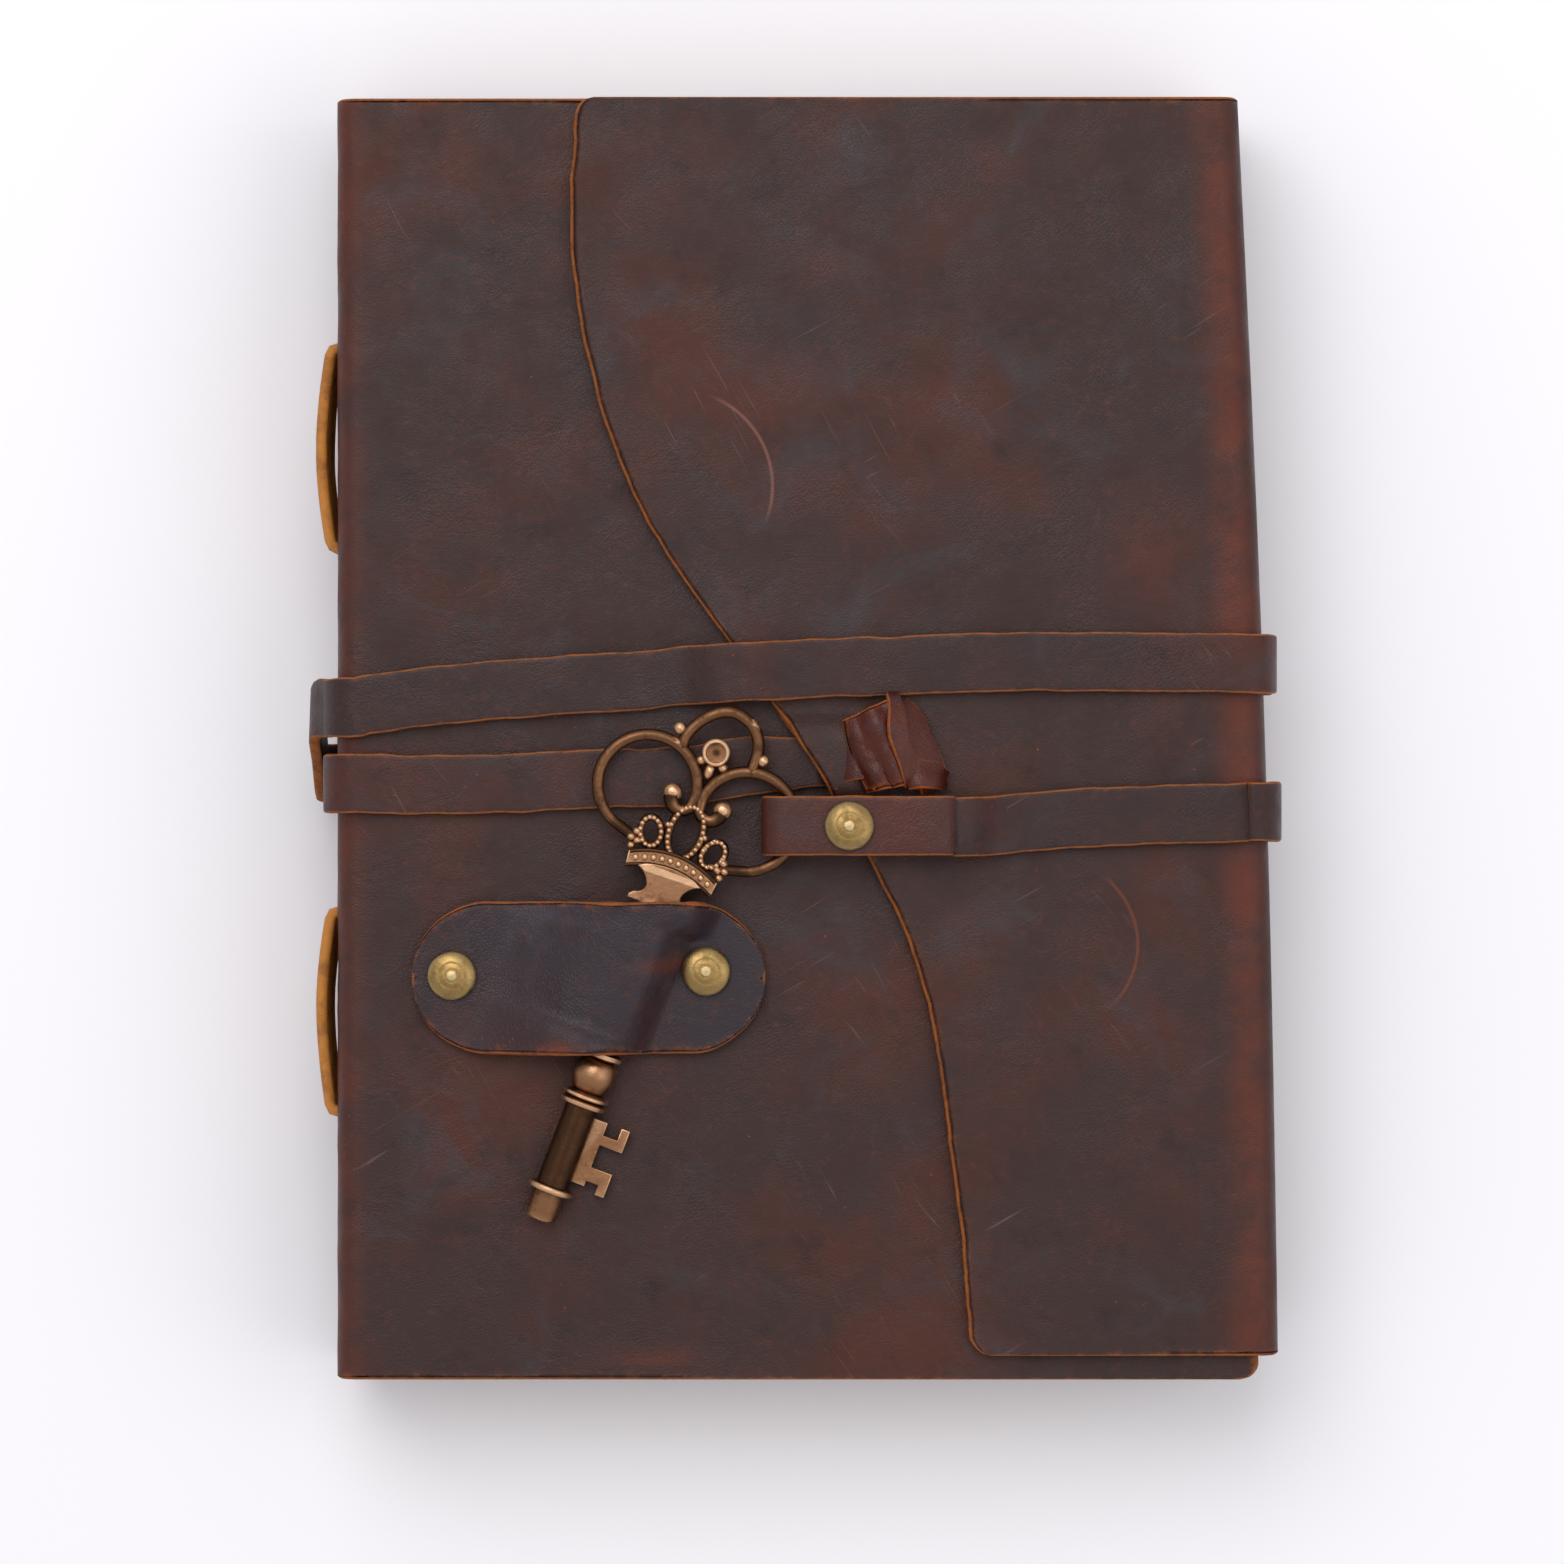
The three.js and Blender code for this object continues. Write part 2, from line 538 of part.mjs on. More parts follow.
// The patch arches over the key and comes down to a rivet at each end.
function keyPatch() {
  const inverse = keyPlace.clone().invert();
  const low = COVER_TOP + SEAT_GAP + PATCH_LEATHER / 2;
  const level = (x, y) => {
    const p = new THREE.Vector3(x, y, COVER_TOP).applyMatrix4(inverse);
    const over = keyPoint(0, p.y, KEY_AXIS_HEIGHT + HIDDEN_SHANK_RADIUS).z + SEAT_GAP + PATCH_LEATHER / 2;
    const collar = 1.3 * (1 - smooth(24.8, 27.5, p.y));
    const flange = 2.6 * smooth(43.4, 46, p.y);
    const fall = p.x < 0 ? smooth(-19, -2.6 - flange, p.x) : 1 - smooth(2.4 + flange, 6.2 + flange, p.x);
    return mix(low, over + collar, fall);
  };
  const half = PATCH_LENGTH / 2;
  const xs = [...span(-half, -6, 9), ...span(-6, half, 20).slice(1)];
  const end = PATCH_WIDTH / 2;
  const grid = span(-1, 1, 8).map((v) =>
    xs.map((u) => {
      const inset = Math.max(0, end - (half - Math.abs(u)));
      const reach = Math.max(1.2, Math.sqrt(Math.max(0, end * end - inset * inset)));
      const [x, y] = [PATCH_CENTRE[0] + u, PATCH_CENTRE[1] + v * reach];
      return new THREE.Vector3(x, y, level(x, y));
    }),
  );
  const holes = [PATCH_RIVET_LEFT, PATCH_RIVET_RIGHT].map(([x, y]) =>
    cylinder(POST_RADIUS + 2 * SEAT_GAP + SOCKET_WALL, x, y, COVER_TOP - 2, 20),
  );
  return cutBy(sheet(grid, PATCH_LEATHER), holes);
}

// The strap
const ON_COVER = COVER_TOP + SEAT_GAP + STRAP / 2;
const ON_FLAP = FLAP_TOP + SEAT_GAP + STRAP / 2;
const HUG = FOLD_RADIUS + SEAT_GAP + STRAP / 2;
const OUTER_HUG = HUG + STRAP + LAYER_GAP;
const ringRight = keyPoint(RING_SIDE, RING_ALONG, KEY_AXIS_HEIGHT).add(new THREE.Vector3(RING_RADIUS, 0, 0));
const ringHeight = keyPoint(RING_SIDE, RING_ALONG + 2.4, KEY_AXIS_HEIGHT).z;
const LOOP_HALF = RING_TUBE + SEAT_GAP + STRAP / 2 + LOOP_SLACK;
const LOOP_FOLD_X = ringRight.x - 1.6;
const LOOP_TOP = ringHeight + LOOP_HALF;
const LOOP_Y = ringRight.y - 0.5;
const LOOP_END_X = LOOP_FOLD_X + LOOP_REACH;

function windingStations() {
  const across = (t, y) => mix(spineInner + 1, foreEdge(y) - FOLD_RADIUS - 1, t);
  const flat = (list, z) => list.map(([t, y, height = z]) => station(across(t, y), y, height));
  const backFoot = BACK_Z + FOLD_RADIUS;
  const tableHug = backFoot - STRAP / 2;
  const outerX = spineInner - OUTER_HUG;
  const spineWall = (x0, y0, x1, y1, top, bottom, mid) => [
    station(mix(x0, x1, 0.5), y0, mix(top, bottom, 0.1), [-1, 0, 0]),
    station(x1, mix(y0, y1, 0.08), mix(top, bottom, 0.26), [-1, 0, 0]),
    station(x1, mix(y0, y1, mid), mix(top, bottom, 0.6), [-1, 0, 0]),
    station(x1, mix(y0, y1, 0.95), mix(top, bottom, 0.9), [-1, 0, 0]),
  ];
  const headFold = COVER_TOP - FOLD_RADIUS;
  const hugX = spineInner - HUG;
  const foreTurn = (y) => {
    const hug = foreEdge(y) + SEAT_GAP + STRAP / 2;
    return [
      ...turn(hug - tableHug, backFoot, tableHug, -90, 0, y),
      ...turn(hug - HUG, FLAP_TOP - FOLD_RADIUS, HUG, 0, 90, y),
    ];
  };
  const onBack = (list) =>
    list.map(([t, y, z]) => station(across(t, y), y, z, [0, 0, -1]));
  const start = station(SLIT_X - STRAP / 2 - 1 - SEAT_GAP, SLIT_Y, ON_COVER, [0, 0, 1], STUB_WIDTH);
  const edgeX = flapEdge(9.2 + STRAP_WIDTH / 2 + 0.6);
  return [
    start,
    station(-0.5, SLIT_Y + 0.1, ON_COVER, [0, 0, 1], STUB_WIDTH + 0.8),
    station(-6, -3.7, ON_COVER),
    station(-14.9, -5, ON_COVER),
    station(-26.7, -5.5, ON_COVER),
    station(-45, -6.3, ON_COVER),
    ...turn(spineInner, headFold, HUG, 90, 180, FIRST_PASS_SPINE_Y),
    ...turn(spineInner, backFoot, HUG, 180, 270, FIRST_PASS_SPINE_Y),
    ...onBack([
      [0.02, FIRST_PASS_SPINE_Y, INNER_STRAP_Z + STRAP / 2],
      [0.25, -2.2, INNER_STRAP_Z + STRAP / 2],
      [0.5, 2.2, INNER_STRAP_Z + STRAP / 2],
      [0.56, 3.4, INNER_STRAP_Z + STRAP / 2 - 0.5],
      [0.64, 4.8, STRAP / 2 + 0.5],
      [0.7, 5.8, STRAP / 2],
      [0.85, 8.6, STRAP / 2],
      [0.96, SECOND_PASS_FORE_Y, STRAP / 2],
    ]),
    ...foreTurn(SECOND_PASS_FORE_Y),
    ...flat([[0.93, 10.6], [0.74, 10.6], [0.62, 10.2], [0.54, 9.8]], ON_FLAP),
    station(edgeX + 0.5, 9.2, ON_FLAP),
    station(edgeX - 2.5, 9, mix(ON_FLAP, ON_COVER, 0.35)),
    station(edgeX - 5.5, 8.9, ON_COVER + 0.1),
    ...flat([[0.33, 8.2], [0.2, 7.2], [0.09, 6.1], [0, 4.7]], ON_COVER),
    ...turn(spineInner, headFold, HUG, 90, 180, SECOND_PASS_SPINE_Y),
    ...spineWall(hugX, SECOND_PASS_SPINE_Y, outerX, SECOND_PASS_BACK_Y, headFold, backFoot, 0.5),
    ...turn(spineInner, backFoot, OUTER_HUG, 180, 270, SECOND_PASS_BACK_Y),
    ...onBack([
      [0.02, SECOND_PASS_BACK_Y, STRAP / 2],
      [0.3, -6.2, STRAP / 2],
      [0.7, -8.6, STRAP / 2],
      [0.96, LAST_PASS_FORE_Y, STRAP / 2],
    ]),
    ...foreTurn(LAST_PASS_FORE_Y),
    ...flat([[0.93, -10.4], [0.82, -11], [0.75, -11.6]], ON_FLAP),
    station(mix(LOOP_END_X, 30, 0.75), -12, mix(ON_FLAP, LOOP_TOP, 0.12)),
    station(mix(LOOP_END_X, 30, 0.35), LOOP_Y, mix(ON_FLAP, LOOP_TOP, 0.8)),
    station(LOOP_END_X + 1.4, LOOP_Y, LOOP_TOP),
    station(LOOP_END_X + SEAT_GAP, LOOP_Y, LOOP_TOP),
  ];
}

// The least gap that the winding keeps to itself, between points more than a strap's width apart along it
function leastSelfGap(stations) {
  const points = [];
  let along = 0;
  stations.forEach(({ at, up, width }, i) => {
    const next = stations[Math.min(stations.length - 1, i + 1)];
    const steps = Math.max(1, Math.round(at.distanceTo(next.at)));
    for (let k = 0; k < steps; k++) {
      const t = k / steps;
      const p = at.clone().lerp(next.at, t);
      const normal = up.clone().lerp(next.up, t).normalize();
      const side = new THREE.Vector3().subVectors(next.at, at).normalize().cross(normal);
      for (const w of [-0.5, -0.25, 0, 0.25, 0.5]) {
        for (const s of [-0.5, 0.5]) {
          const q = p.clone().addScaledVector(side, w * width).addScaledVector(normal, s * STRAP);
          points.push({ q, along });
        }
      }
      along += at.distanceTo(next.at) / steps;
    }
  });
  let least = Infinity;
  for (let i = 0; i < points.length; i++) {
    for (let j = i + 1; j < points.length; j++) {
      if (points[j].along - points[i].along > 3 * STRAP_WIDTH) {
        least = Math.min(least, points[i].q.distanceTo(points[j].q));
      }
    }
  }
  return least;
}

// The end of the strap goes round the ring of the key and back under itself.
function keyLoop() {
  const lowX = LOOP_END_X - 2.4;
  const rivetLevel = LOOP_TOP - STRAP - SEAT_GAP;
  const under = (x, z) => station(x, LOOP_Y, z, [0, 0, -1]);
  const fold = span(90, 270, 8).map((degrees) => {
    const angle = THREE.MathUtils.degToRad(degrees);
    const [c, s] = [Math.cos(angle), Math.sin(angle)];
    return station(LOOP_FOLD_X + LOOP_HALF * c, LOOP_Y, ringHeight + LOOP_HALF * s, [c, 0, s]);
  });
  const body = ribbon([
    station(LOOP_END_X, LOOP_Y, LOOP_TOP),
    station(mix(LOOP_END_X, LOOP_FOLD_X, 0.5), LOOP_Y, LOOP_TOP),
    ...fold,
    under(LOOP_FOLD_X + 2.6, ringHeight - LOOP_HALF),
    under(LOOP_FOLD_X + 4.6, mix(ringHeight - LOOP_HALF, rivetLevel, 0.55)),
    under(STRAP_RIVET_X - BACK_RADIUS - 0.4, rivetLevel),
    under(lowX, rivetLevel),
  ]);
  const base = rivetLevel - STRAP / 2;
  return cutBy(body, [
    cylinder(POST_RADIUS + 2 * SEAT_GAP + SOCKET_WALL, STRAP_RIVET_X, LOOP_Y, base - 1, 8),
    cylinder(BACK_RADIUS + SEAT_GAP, STRAP_RIVET_X, LOOP_Y, base - 2, 2 + SEAT_GAP + BACK_THICKNESS - BACK_PROUD),
  ]);
}

// The other end comes up through the slit, folds over into a hood and leaves a short tail.
function strapKnot() {
  const x = SLIT_X;
  const low = ON_COVER;
  const hood = ribbon([
    station(x - STRAP / 2 - 1, SLIT_Y, low, [0, 0, 1], STUB_WIDTH),
    station(x - 0.45, SLIT_Y, low + 0.35, [-0.6, 0, 0.8], STUB_WIDTH),
    station(x, SLIT_Y, low + 1.2, [-1, 0, 0], STUB_WIDTH),
    station(x, SLIT_Y, low + 3.3, [-1, 0, 0], STUB_WIDTH),
    station(x - 0.2, SLIT_Y + 0.1, low + 4.4, [-0.95, 0, 0.3], STUB_WIDTH + 1),
    station(x + 0.5, SLIT_Y + 0.6, low + 5.6, [-0.7, 0, 0.7], STRAP_WIDTH),
    station(x + 2.6, SLIT_Y + 1.6, low + 6.3, [-0.1, 0, 1], STRAP_WIDTH),
    station(x + 5.4, SLIT_Y + 2.6, low + 6.1, [0.25, 0, 1], STRAP_WIDTH),
    station(x + 7.2, SLIT_Y + 3, low + 4.9, [1, 0.2, 0.5], STRAP_WIDTH),
    station(x + 7.6, SLIT_Y + 3, low + 3.3, [1, 0.2, -0.1], STRAP_WIDTH),
  ]);
  const tail = ribbon([
    station(x + 4.4, SLIT_Y + 3.4, low + 4.7, [0.2, 0.1, 1], 6),
    station(x + 7.6, SLIT_Y + 1.4, low + 4.2, [0.35, 0.2, 1], 6),
    station(x + 10.4, SLIT_Y - 0.9, low + 3.4, [0.4, 0.3, 1], 5.6),
    station(x + 12.6, SLIT_Y - 2.2, low + 2.9, [0.25, 0.3, 1], 4.6),
  ], STRAP * 0.8);
  return joined([hood, tail]);
}

// Materials
const finish = (color, roughness, metalness = 0) => () =>
  new THREE.MeshStandardMaterial({ color, roughness, metalness });
const darkLeather = finish("#4a3836", 0.55);
const strapLeather = finish("#432c2a", 0.5);
const patchLeather = finish("#423842", 0.5);
const paper = finish("#e4d9bf", 0.9);
const lacing = finish("#be7828", 0.7);
const brass = finish("#d7c378", 0.3, 1);
const bronze = finish("#b48c66", 0.4, 1);

const group = new THREE.Group();
const add = (name, geometry, material, at = [0, 0, 0]) => {
  const mesh = new THREE.Mesh(geometry, material());
  mesh.name = name;
  mesh.position.set(...at);
  group.add(mesh);
};

add("back_cover", backCover(), darkLeather);
add("spine", spine(), darkLeather);
add("front_cover", frontCover(), darkLeather);
add("flap_fore_edge", foreEdgeWall(), darkLeather);
add("flap_panel", flapPanel(), darkLeather);
for (let i = 0; i < SIGNATURES; i++) {
  add(`signature_${i + 1}`, signature(i), paper);
  add(`stitch_head_${i + 1}`, stitch(STITCH_HEAD_Y, i), lacing);
  add(`stitch_tail_${i + 1}`, stitch(STITCH_TAIL_Y, i), lacing);
}
add("key", key(), bronze);
add("key_patch", keyPatch(), patchLeather);
const patchTop = COVER_TOP + SEAT_GAP + PATCH_LEATHER + SEAT_GAP;
const backLevel = COVER_Z - BACK_PROUD;
const patchGrip = patchTop - backLevel - BACK_THICKNESS - 0.1;
for (const [side, [x, y]] of [["left", PATCH_RIVET_LEFT], ["right", PATCH_RIVET_RIGHT]]) {
  add(`patch_rivet_${side}_cap`, rivetCap(patchGrip), brass, [x, y, patchTop]);
  add(`patch_rivet_${side}_back`, rivetBack(BACK_THICKNESS + 1.6), brass, [x, y, backLevel]);
}
const loopTop = LOOP_TOP + STRAP / 2 + SEAT_GAP;
const loopBack = LOOP_TOP - STRAP - SEAT_GAP - STRAP / 2 - BACK_PROUD;
add("strap_rivet_cap", rivetCap(loopTop - loopBack - BACK_THICKNESS - 0.1), brass, [STRAP_RIVET_X, LOOP_Y, loopTop]);
add("strap_rivet_back", rivetBack(BACK_THICKNESS + 1.6), brass, [STRAP_RIVET_X, LOOP_Y, loopBack]);
const winding = windingStations();
add("strap_winding", ribbon(winding), strapLeather);
add("strap_key_loop", keyLoop(), strapLeather);
add("strap_knot", strapKnot(), strapLeather);
console.log(`strap_winding keeps ${leastSelfGap(winding).toFixed(2)} mm to itself`);

// The origin is at the middle of the journal's box, on the table.
const box = new THREE.Box3().setFromObject(group);
group.position.set(-(box.min.x + box.max.x) / 2, -(box.min.y + box.max.y) / 2, -box.min.z);

export default group;
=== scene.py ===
"""A leather wrap journal closed with a long strap and an antique key, dressed for rendering."""

import math
import random

import bpy
from mathutils import Matrix, Vector, noise


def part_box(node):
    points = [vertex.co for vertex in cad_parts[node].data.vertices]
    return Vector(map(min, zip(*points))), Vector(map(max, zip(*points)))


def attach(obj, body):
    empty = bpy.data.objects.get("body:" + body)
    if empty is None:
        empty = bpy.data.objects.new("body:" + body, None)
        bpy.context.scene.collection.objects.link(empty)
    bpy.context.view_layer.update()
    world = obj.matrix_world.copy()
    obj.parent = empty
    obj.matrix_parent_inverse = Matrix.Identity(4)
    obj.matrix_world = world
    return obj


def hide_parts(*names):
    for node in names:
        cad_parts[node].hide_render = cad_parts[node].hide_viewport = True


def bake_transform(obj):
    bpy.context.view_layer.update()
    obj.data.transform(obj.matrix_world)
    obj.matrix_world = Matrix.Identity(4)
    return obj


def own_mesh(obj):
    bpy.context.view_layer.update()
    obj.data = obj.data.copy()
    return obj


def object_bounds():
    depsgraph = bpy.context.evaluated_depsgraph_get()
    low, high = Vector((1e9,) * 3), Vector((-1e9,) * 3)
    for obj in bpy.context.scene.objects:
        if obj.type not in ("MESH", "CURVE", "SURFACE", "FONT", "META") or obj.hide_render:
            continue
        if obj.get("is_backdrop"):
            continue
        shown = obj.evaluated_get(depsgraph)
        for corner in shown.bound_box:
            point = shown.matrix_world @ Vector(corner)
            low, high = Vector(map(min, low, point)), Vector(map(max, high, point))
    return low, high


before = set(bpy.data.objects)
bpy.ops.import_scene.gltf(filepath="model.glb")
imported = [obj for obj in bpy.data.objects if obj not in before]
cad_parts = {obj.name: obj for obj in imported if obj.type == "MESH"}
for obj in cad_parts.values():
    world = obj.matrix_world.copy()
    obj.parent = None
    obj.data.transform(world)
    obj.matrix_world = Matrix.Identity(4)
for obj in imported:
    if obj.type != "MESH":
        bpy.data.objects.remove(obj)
cad_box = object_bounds()

MM = 0.001

# Sizes of the journal, in millimetres, as in the part's source
LEATHER = 2.0
STRAP = 1.7
STRAP_WIDTH = 8.2
SEAT_GAP = 0.3
LAYER_GAP = 0.5
FOLD_RADIUS = 3.0
CORNER_RADIUS = 2.6
COVER_HEIGHT = 178
SPINE_X = -64
FORE_EDGE_HEAD_X = 61.2
FORE_EDGE_TAIL_X = 66.9
FORE_EDGE_BOW = 1.0
WALL_CLEARANCE = 0.8
FLAP_HEIGHT = 174.5
SIGNATURES = 6
SIGNATURE = 2.8
PAGE_WIDTH = 117
PAGE_HEIGHT = 170
LEAVES = 9
LACING_RADIUS = 0.8
STITCH_BOW = 1.2
STITCH_LENGTH = 28
STITCH_TOPS = {"head": 54.6, "tail": -24}
BACK_PROUD = 0.4
BACK_RADIUS = 3.1
KEY_TIP = (-35.7, -66.5)
KEY_TURN = -20.8
KEY_PITCH = 2
KEY_AXIS_HEIGHT = 1.6
SHANK_RADIUS = 2.3
COLLAR_RADIUS = 3.2
HIDDEN_SHANK_RADIUS = 1.9
BIT_THICKNESS = 1.1
RING_SIDE = 7.3
RING_ALONG = 61.7
RING_RADIUS = 6.9
RING_TUBE = 0.85
PATCH_LEATHER = 1.6
PATCH_CENTRE = (-28.9, -33.1)
PATCH_LENGTH = 49
PATCH_WIDTH = 21
PATCH_RIVETS = {"left": (-47.8, -32.8), "right": (-12.6, -32.2)}
FIRST_PASS_SPINE_Y = -6.2
SECOND_PASS_SPINE_Y = 4.4
SECOND_PASS_BACK_Y = -4.6
SECOND_PASS_FORE_Y = 10.4
LAST_PASS_FORE_Y = -10.1
SLIT_X = 6.3
SLIT_Y = -3.4
STUB_WIDTH = 6.4
LOOP_SLACK = 0.4
LOOP_REACH = 23
STRAP_RIVET_X = 7.2

# Levels, from the table up
INNER_STRAP_Z = STRAP + LAYER_GAP
BACK_Z = INNER_STRAP_Z + STRAP + SEAT_GAP
BLOCK_Z = BACK_Z + LEATHER + SEAT_GAP
BLOCK_TOP = BLOCK_Z + SIGNATURES * (SIGNATURE + SEAT_GAP) - SEAT_GAP
COVER_Z = BLOCK_TOP + BACK_PROUD + SEAT_GAP
COVER_TOP = COVER_Z + LEATHER
FLAP_Z = COVER_TOP + SEAT_GAP
FLAP_TOP = FLAP_Z + LEATHER
HEAD_Y = COVER_HEIGHT / 2
FLAP_TAIL_Y = HEAD_Y - FLAP_HEIGHT

# The source moves its model to the middle of its box. The back cover shows by how much.
back_low, back_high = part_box("back_cover")
SHIFT = Vector((
    back_low.x / MM - (SPINE_X + FOLD_RADIUS + SEAT_GAP),
    (back_low.y + back_high.y) / 2 / MM,
    0,
))


def mix(a, b, t):
    return a + (b - a) * t


def clamp01(t):
    return min(1, max(0, t))


def smooth(start, end, x):
    t = clamp01((x - start) / (end - start))
    return t * t * (3 - 2 * t)


def spread(start, end, count):
    return [mix(start, end, i / count) for i in range(count + 1)]


def around(degrees):
    """The cosine and sine of an angle in degrees."""
    angle = math.radians(degrees)
    return math.cos(angle), math.sin(angle)


def circle(count):
    """The cosines and sines of evenly spaced angles round a full turn."""
    angles = [2 * math.pi * k / count for k in range(count)]
    return [(math.cos(angle), math.sin(angle)) for angle in angles]


def row_frame(x, y, z):
    """A point of the source's own frame, in metres in the shared frame."""
    return (Vector((x, y, z)) + SHIFT) * MM


def ripple(x, y, size, seed=0.0):
    """Smooth noise from about -1 to 1, with swells of that size in millimetres."""
    return noise.noise(Vector((x / size, y / size, seed)))


def ripples(x, y, layers):
    """Several layers of noise, each given by its depth, its size and its seed."""
    return sum(depth * ripple(x, y, size, seed) for depth, size, seed in layers)


def blot(p, x, y, width, height, slope=0.0):
    """A soft spot round (x, y), from 1 in its middle to 0."""
    rise = slope * (p.x - x)
    return math.exp(-((p.x - x) / width) ** 2 - ((p.y - y - rise) / height) ** 2)


def add_object(name, data):
    obj = bpy.data.objects.new(name, data)
    bpy.context.scene.collection.objects.link(obj)
    return obj


# Colours and materials

def linear(code):
    """A written colour such as 4a3836 as linear RGBA."""
    values = [int(code[i:i + 2], 16) / 255 for i in (0, 2, 4)]
    return [v / 12.92 if v <= 0.04045 else ((v + 0.055) / 1.055) ** 2.4 for v in values] + [1]


class Shader:
    """A short way to write one node material."""

    def __init__(self, name):
        self.material = bpy.data.materials.new(name)
        self.material.use_nodes = True
        self.tree = self.material.node_tree
        self.tree.nodes.clear()
        self.bsdf = self.node("ShaderNodeBsdfPrincipled")
        output = self.node("ShaderNodeOutputMaterial")
        self.tree.links.new(self.bsdf.outputs[0], output.inputs["Surface"])

    def node(self, kind, inputs=(), **settings):
        made = self.tree.nodes.new(kind)
        for key, value in settings.items():
            setattr(made, key, value)
        for key, value in dict(inputs).items():
            self.put(made.inputs[key], value)
        return made

    def put(self, socket, value):
        if isinstance(value, bpy.types.NodeSocket):
            self.tree.links.new(value, socket)
        else:
            socket.default_value = value

    def principled(self, **inputs):
        for key, value in inputs.items():
            self.put(self.bsdf.inputs[key.replace("_", " ")], value)

    def place(self, stretch=(1, 1, 1), turn=0.0):
        """Object coordinates in metres, turned about Z by degrees and then drawn out by stretch."""
        source = self.node("ShaderNodeTexCoord").outputs["Object"]
        inputs = {"Vector": source, "Scale": stretch, "Rotation": (0, 0, math.radians(turn))}
        return self.node("ShaderNodeMapping", inputs, vector_type="TEXTURE").outputs[0]

    def noise(self, size, detail=4, roughness=0.5, distortion=0.0, vector=None):
        """Noise whose swells are about size millimetres wide."""
        inputs = {"Scale": 1 / (size * MM), "Detail": detail, "Roughness": roughness,
                  "Distortion": distortion, "Vector": vector or self.place()}
        return self.node("ShaderNodeTexNoise", inputs).outputs["Fac"]

    def cells(self, size, vector=None, feature="DISTANCE_TO_EDGE"):
        inputs = {"Scale": 1 / (size * MM), "Vector": vector or self.place()}
        return self.node("ShaderNodeTexVoronoi", inputs, feature=feature).outputs["Distance"]

    def ramp(self, value, low, high, start=0.0, end=1.0):
        inputs = {"Value": value, "From Min": low, "From Max": high, "To Min": start, "To Max": end}
        return self.node("ShaderNodeMapRange", inputs, interpolation_type="SMOOTHSTEP").outputs[0]

    def math(self, operation, a, b=0.0):
        made = self.node("ShaderNodeMath", operation=operation)
        self.put(made.inputs[0], a)
        self.put(made.inputs[1], b)
        return made.outputs[0]

    def times(self, a, b):
        return self.math("MULTIPLY", a, b)

    def colours(self, a, b, share):
        made = self.node("ShaderNodeMix", data_type="RGBA")
        self.put(made.inputs["Factor"], share)
        for socket, value in ((made.inputs[6], a), (made.inputs[7], b)):
            self.put(socket, linear(value) if isinstance(value, str) else value)
        return made.outputs[2]

    def attribute(self, name):
        return self.node("ShaderNodeAttribute", attribute_name=name).outputs["Fac"]

    def bump(self, height, depth, strength=1.0, normal=None):
        """Relief of that depth in millimetres."""
        inputs = {"Height": height, "Distance": depth * MM, "Strength": strength}
        if normal is not None:
            inputs["Normal"] = normal
        return self.node("ShaderNodeBump", inputs).outputs[0]


ARC_STRENGTH = 0.5
CUT_ROUGHNESS = 0.85


def arc_mark(s, centre, radius, middle, reach):
    """A thin curved mark: part of a circle round centre, within reach of its middle, in millimetres."""
    place = s.node("ShaderNodeTexCoord").outputs["Object"]
    flat = s.node("ShaderNodeVectorMath", {0: place, 1: (1, 1, 0)}, operation="MULTIPLY").outputs[0]

    def distance(x, y):
        point = row_frame(x, y, 0)
        inputs = {0: flat, 1: (point.x, point.y, 0)}
        return s.node("ShaderNodeVectorMath", inputs, operation="DISTANCE").outputs["Value"]

    off = s.math("ABSOLUTE", s.math("SUBTRACT", distance(*centre), radius * MM))
    line = s.ramp(off, 0.08 * MM, 0.34 * MM, 1, 0)
    return s.times(line, s.ramp(distance(*middle), 0.6 * reach * MM, reach * MM, 1, 0))


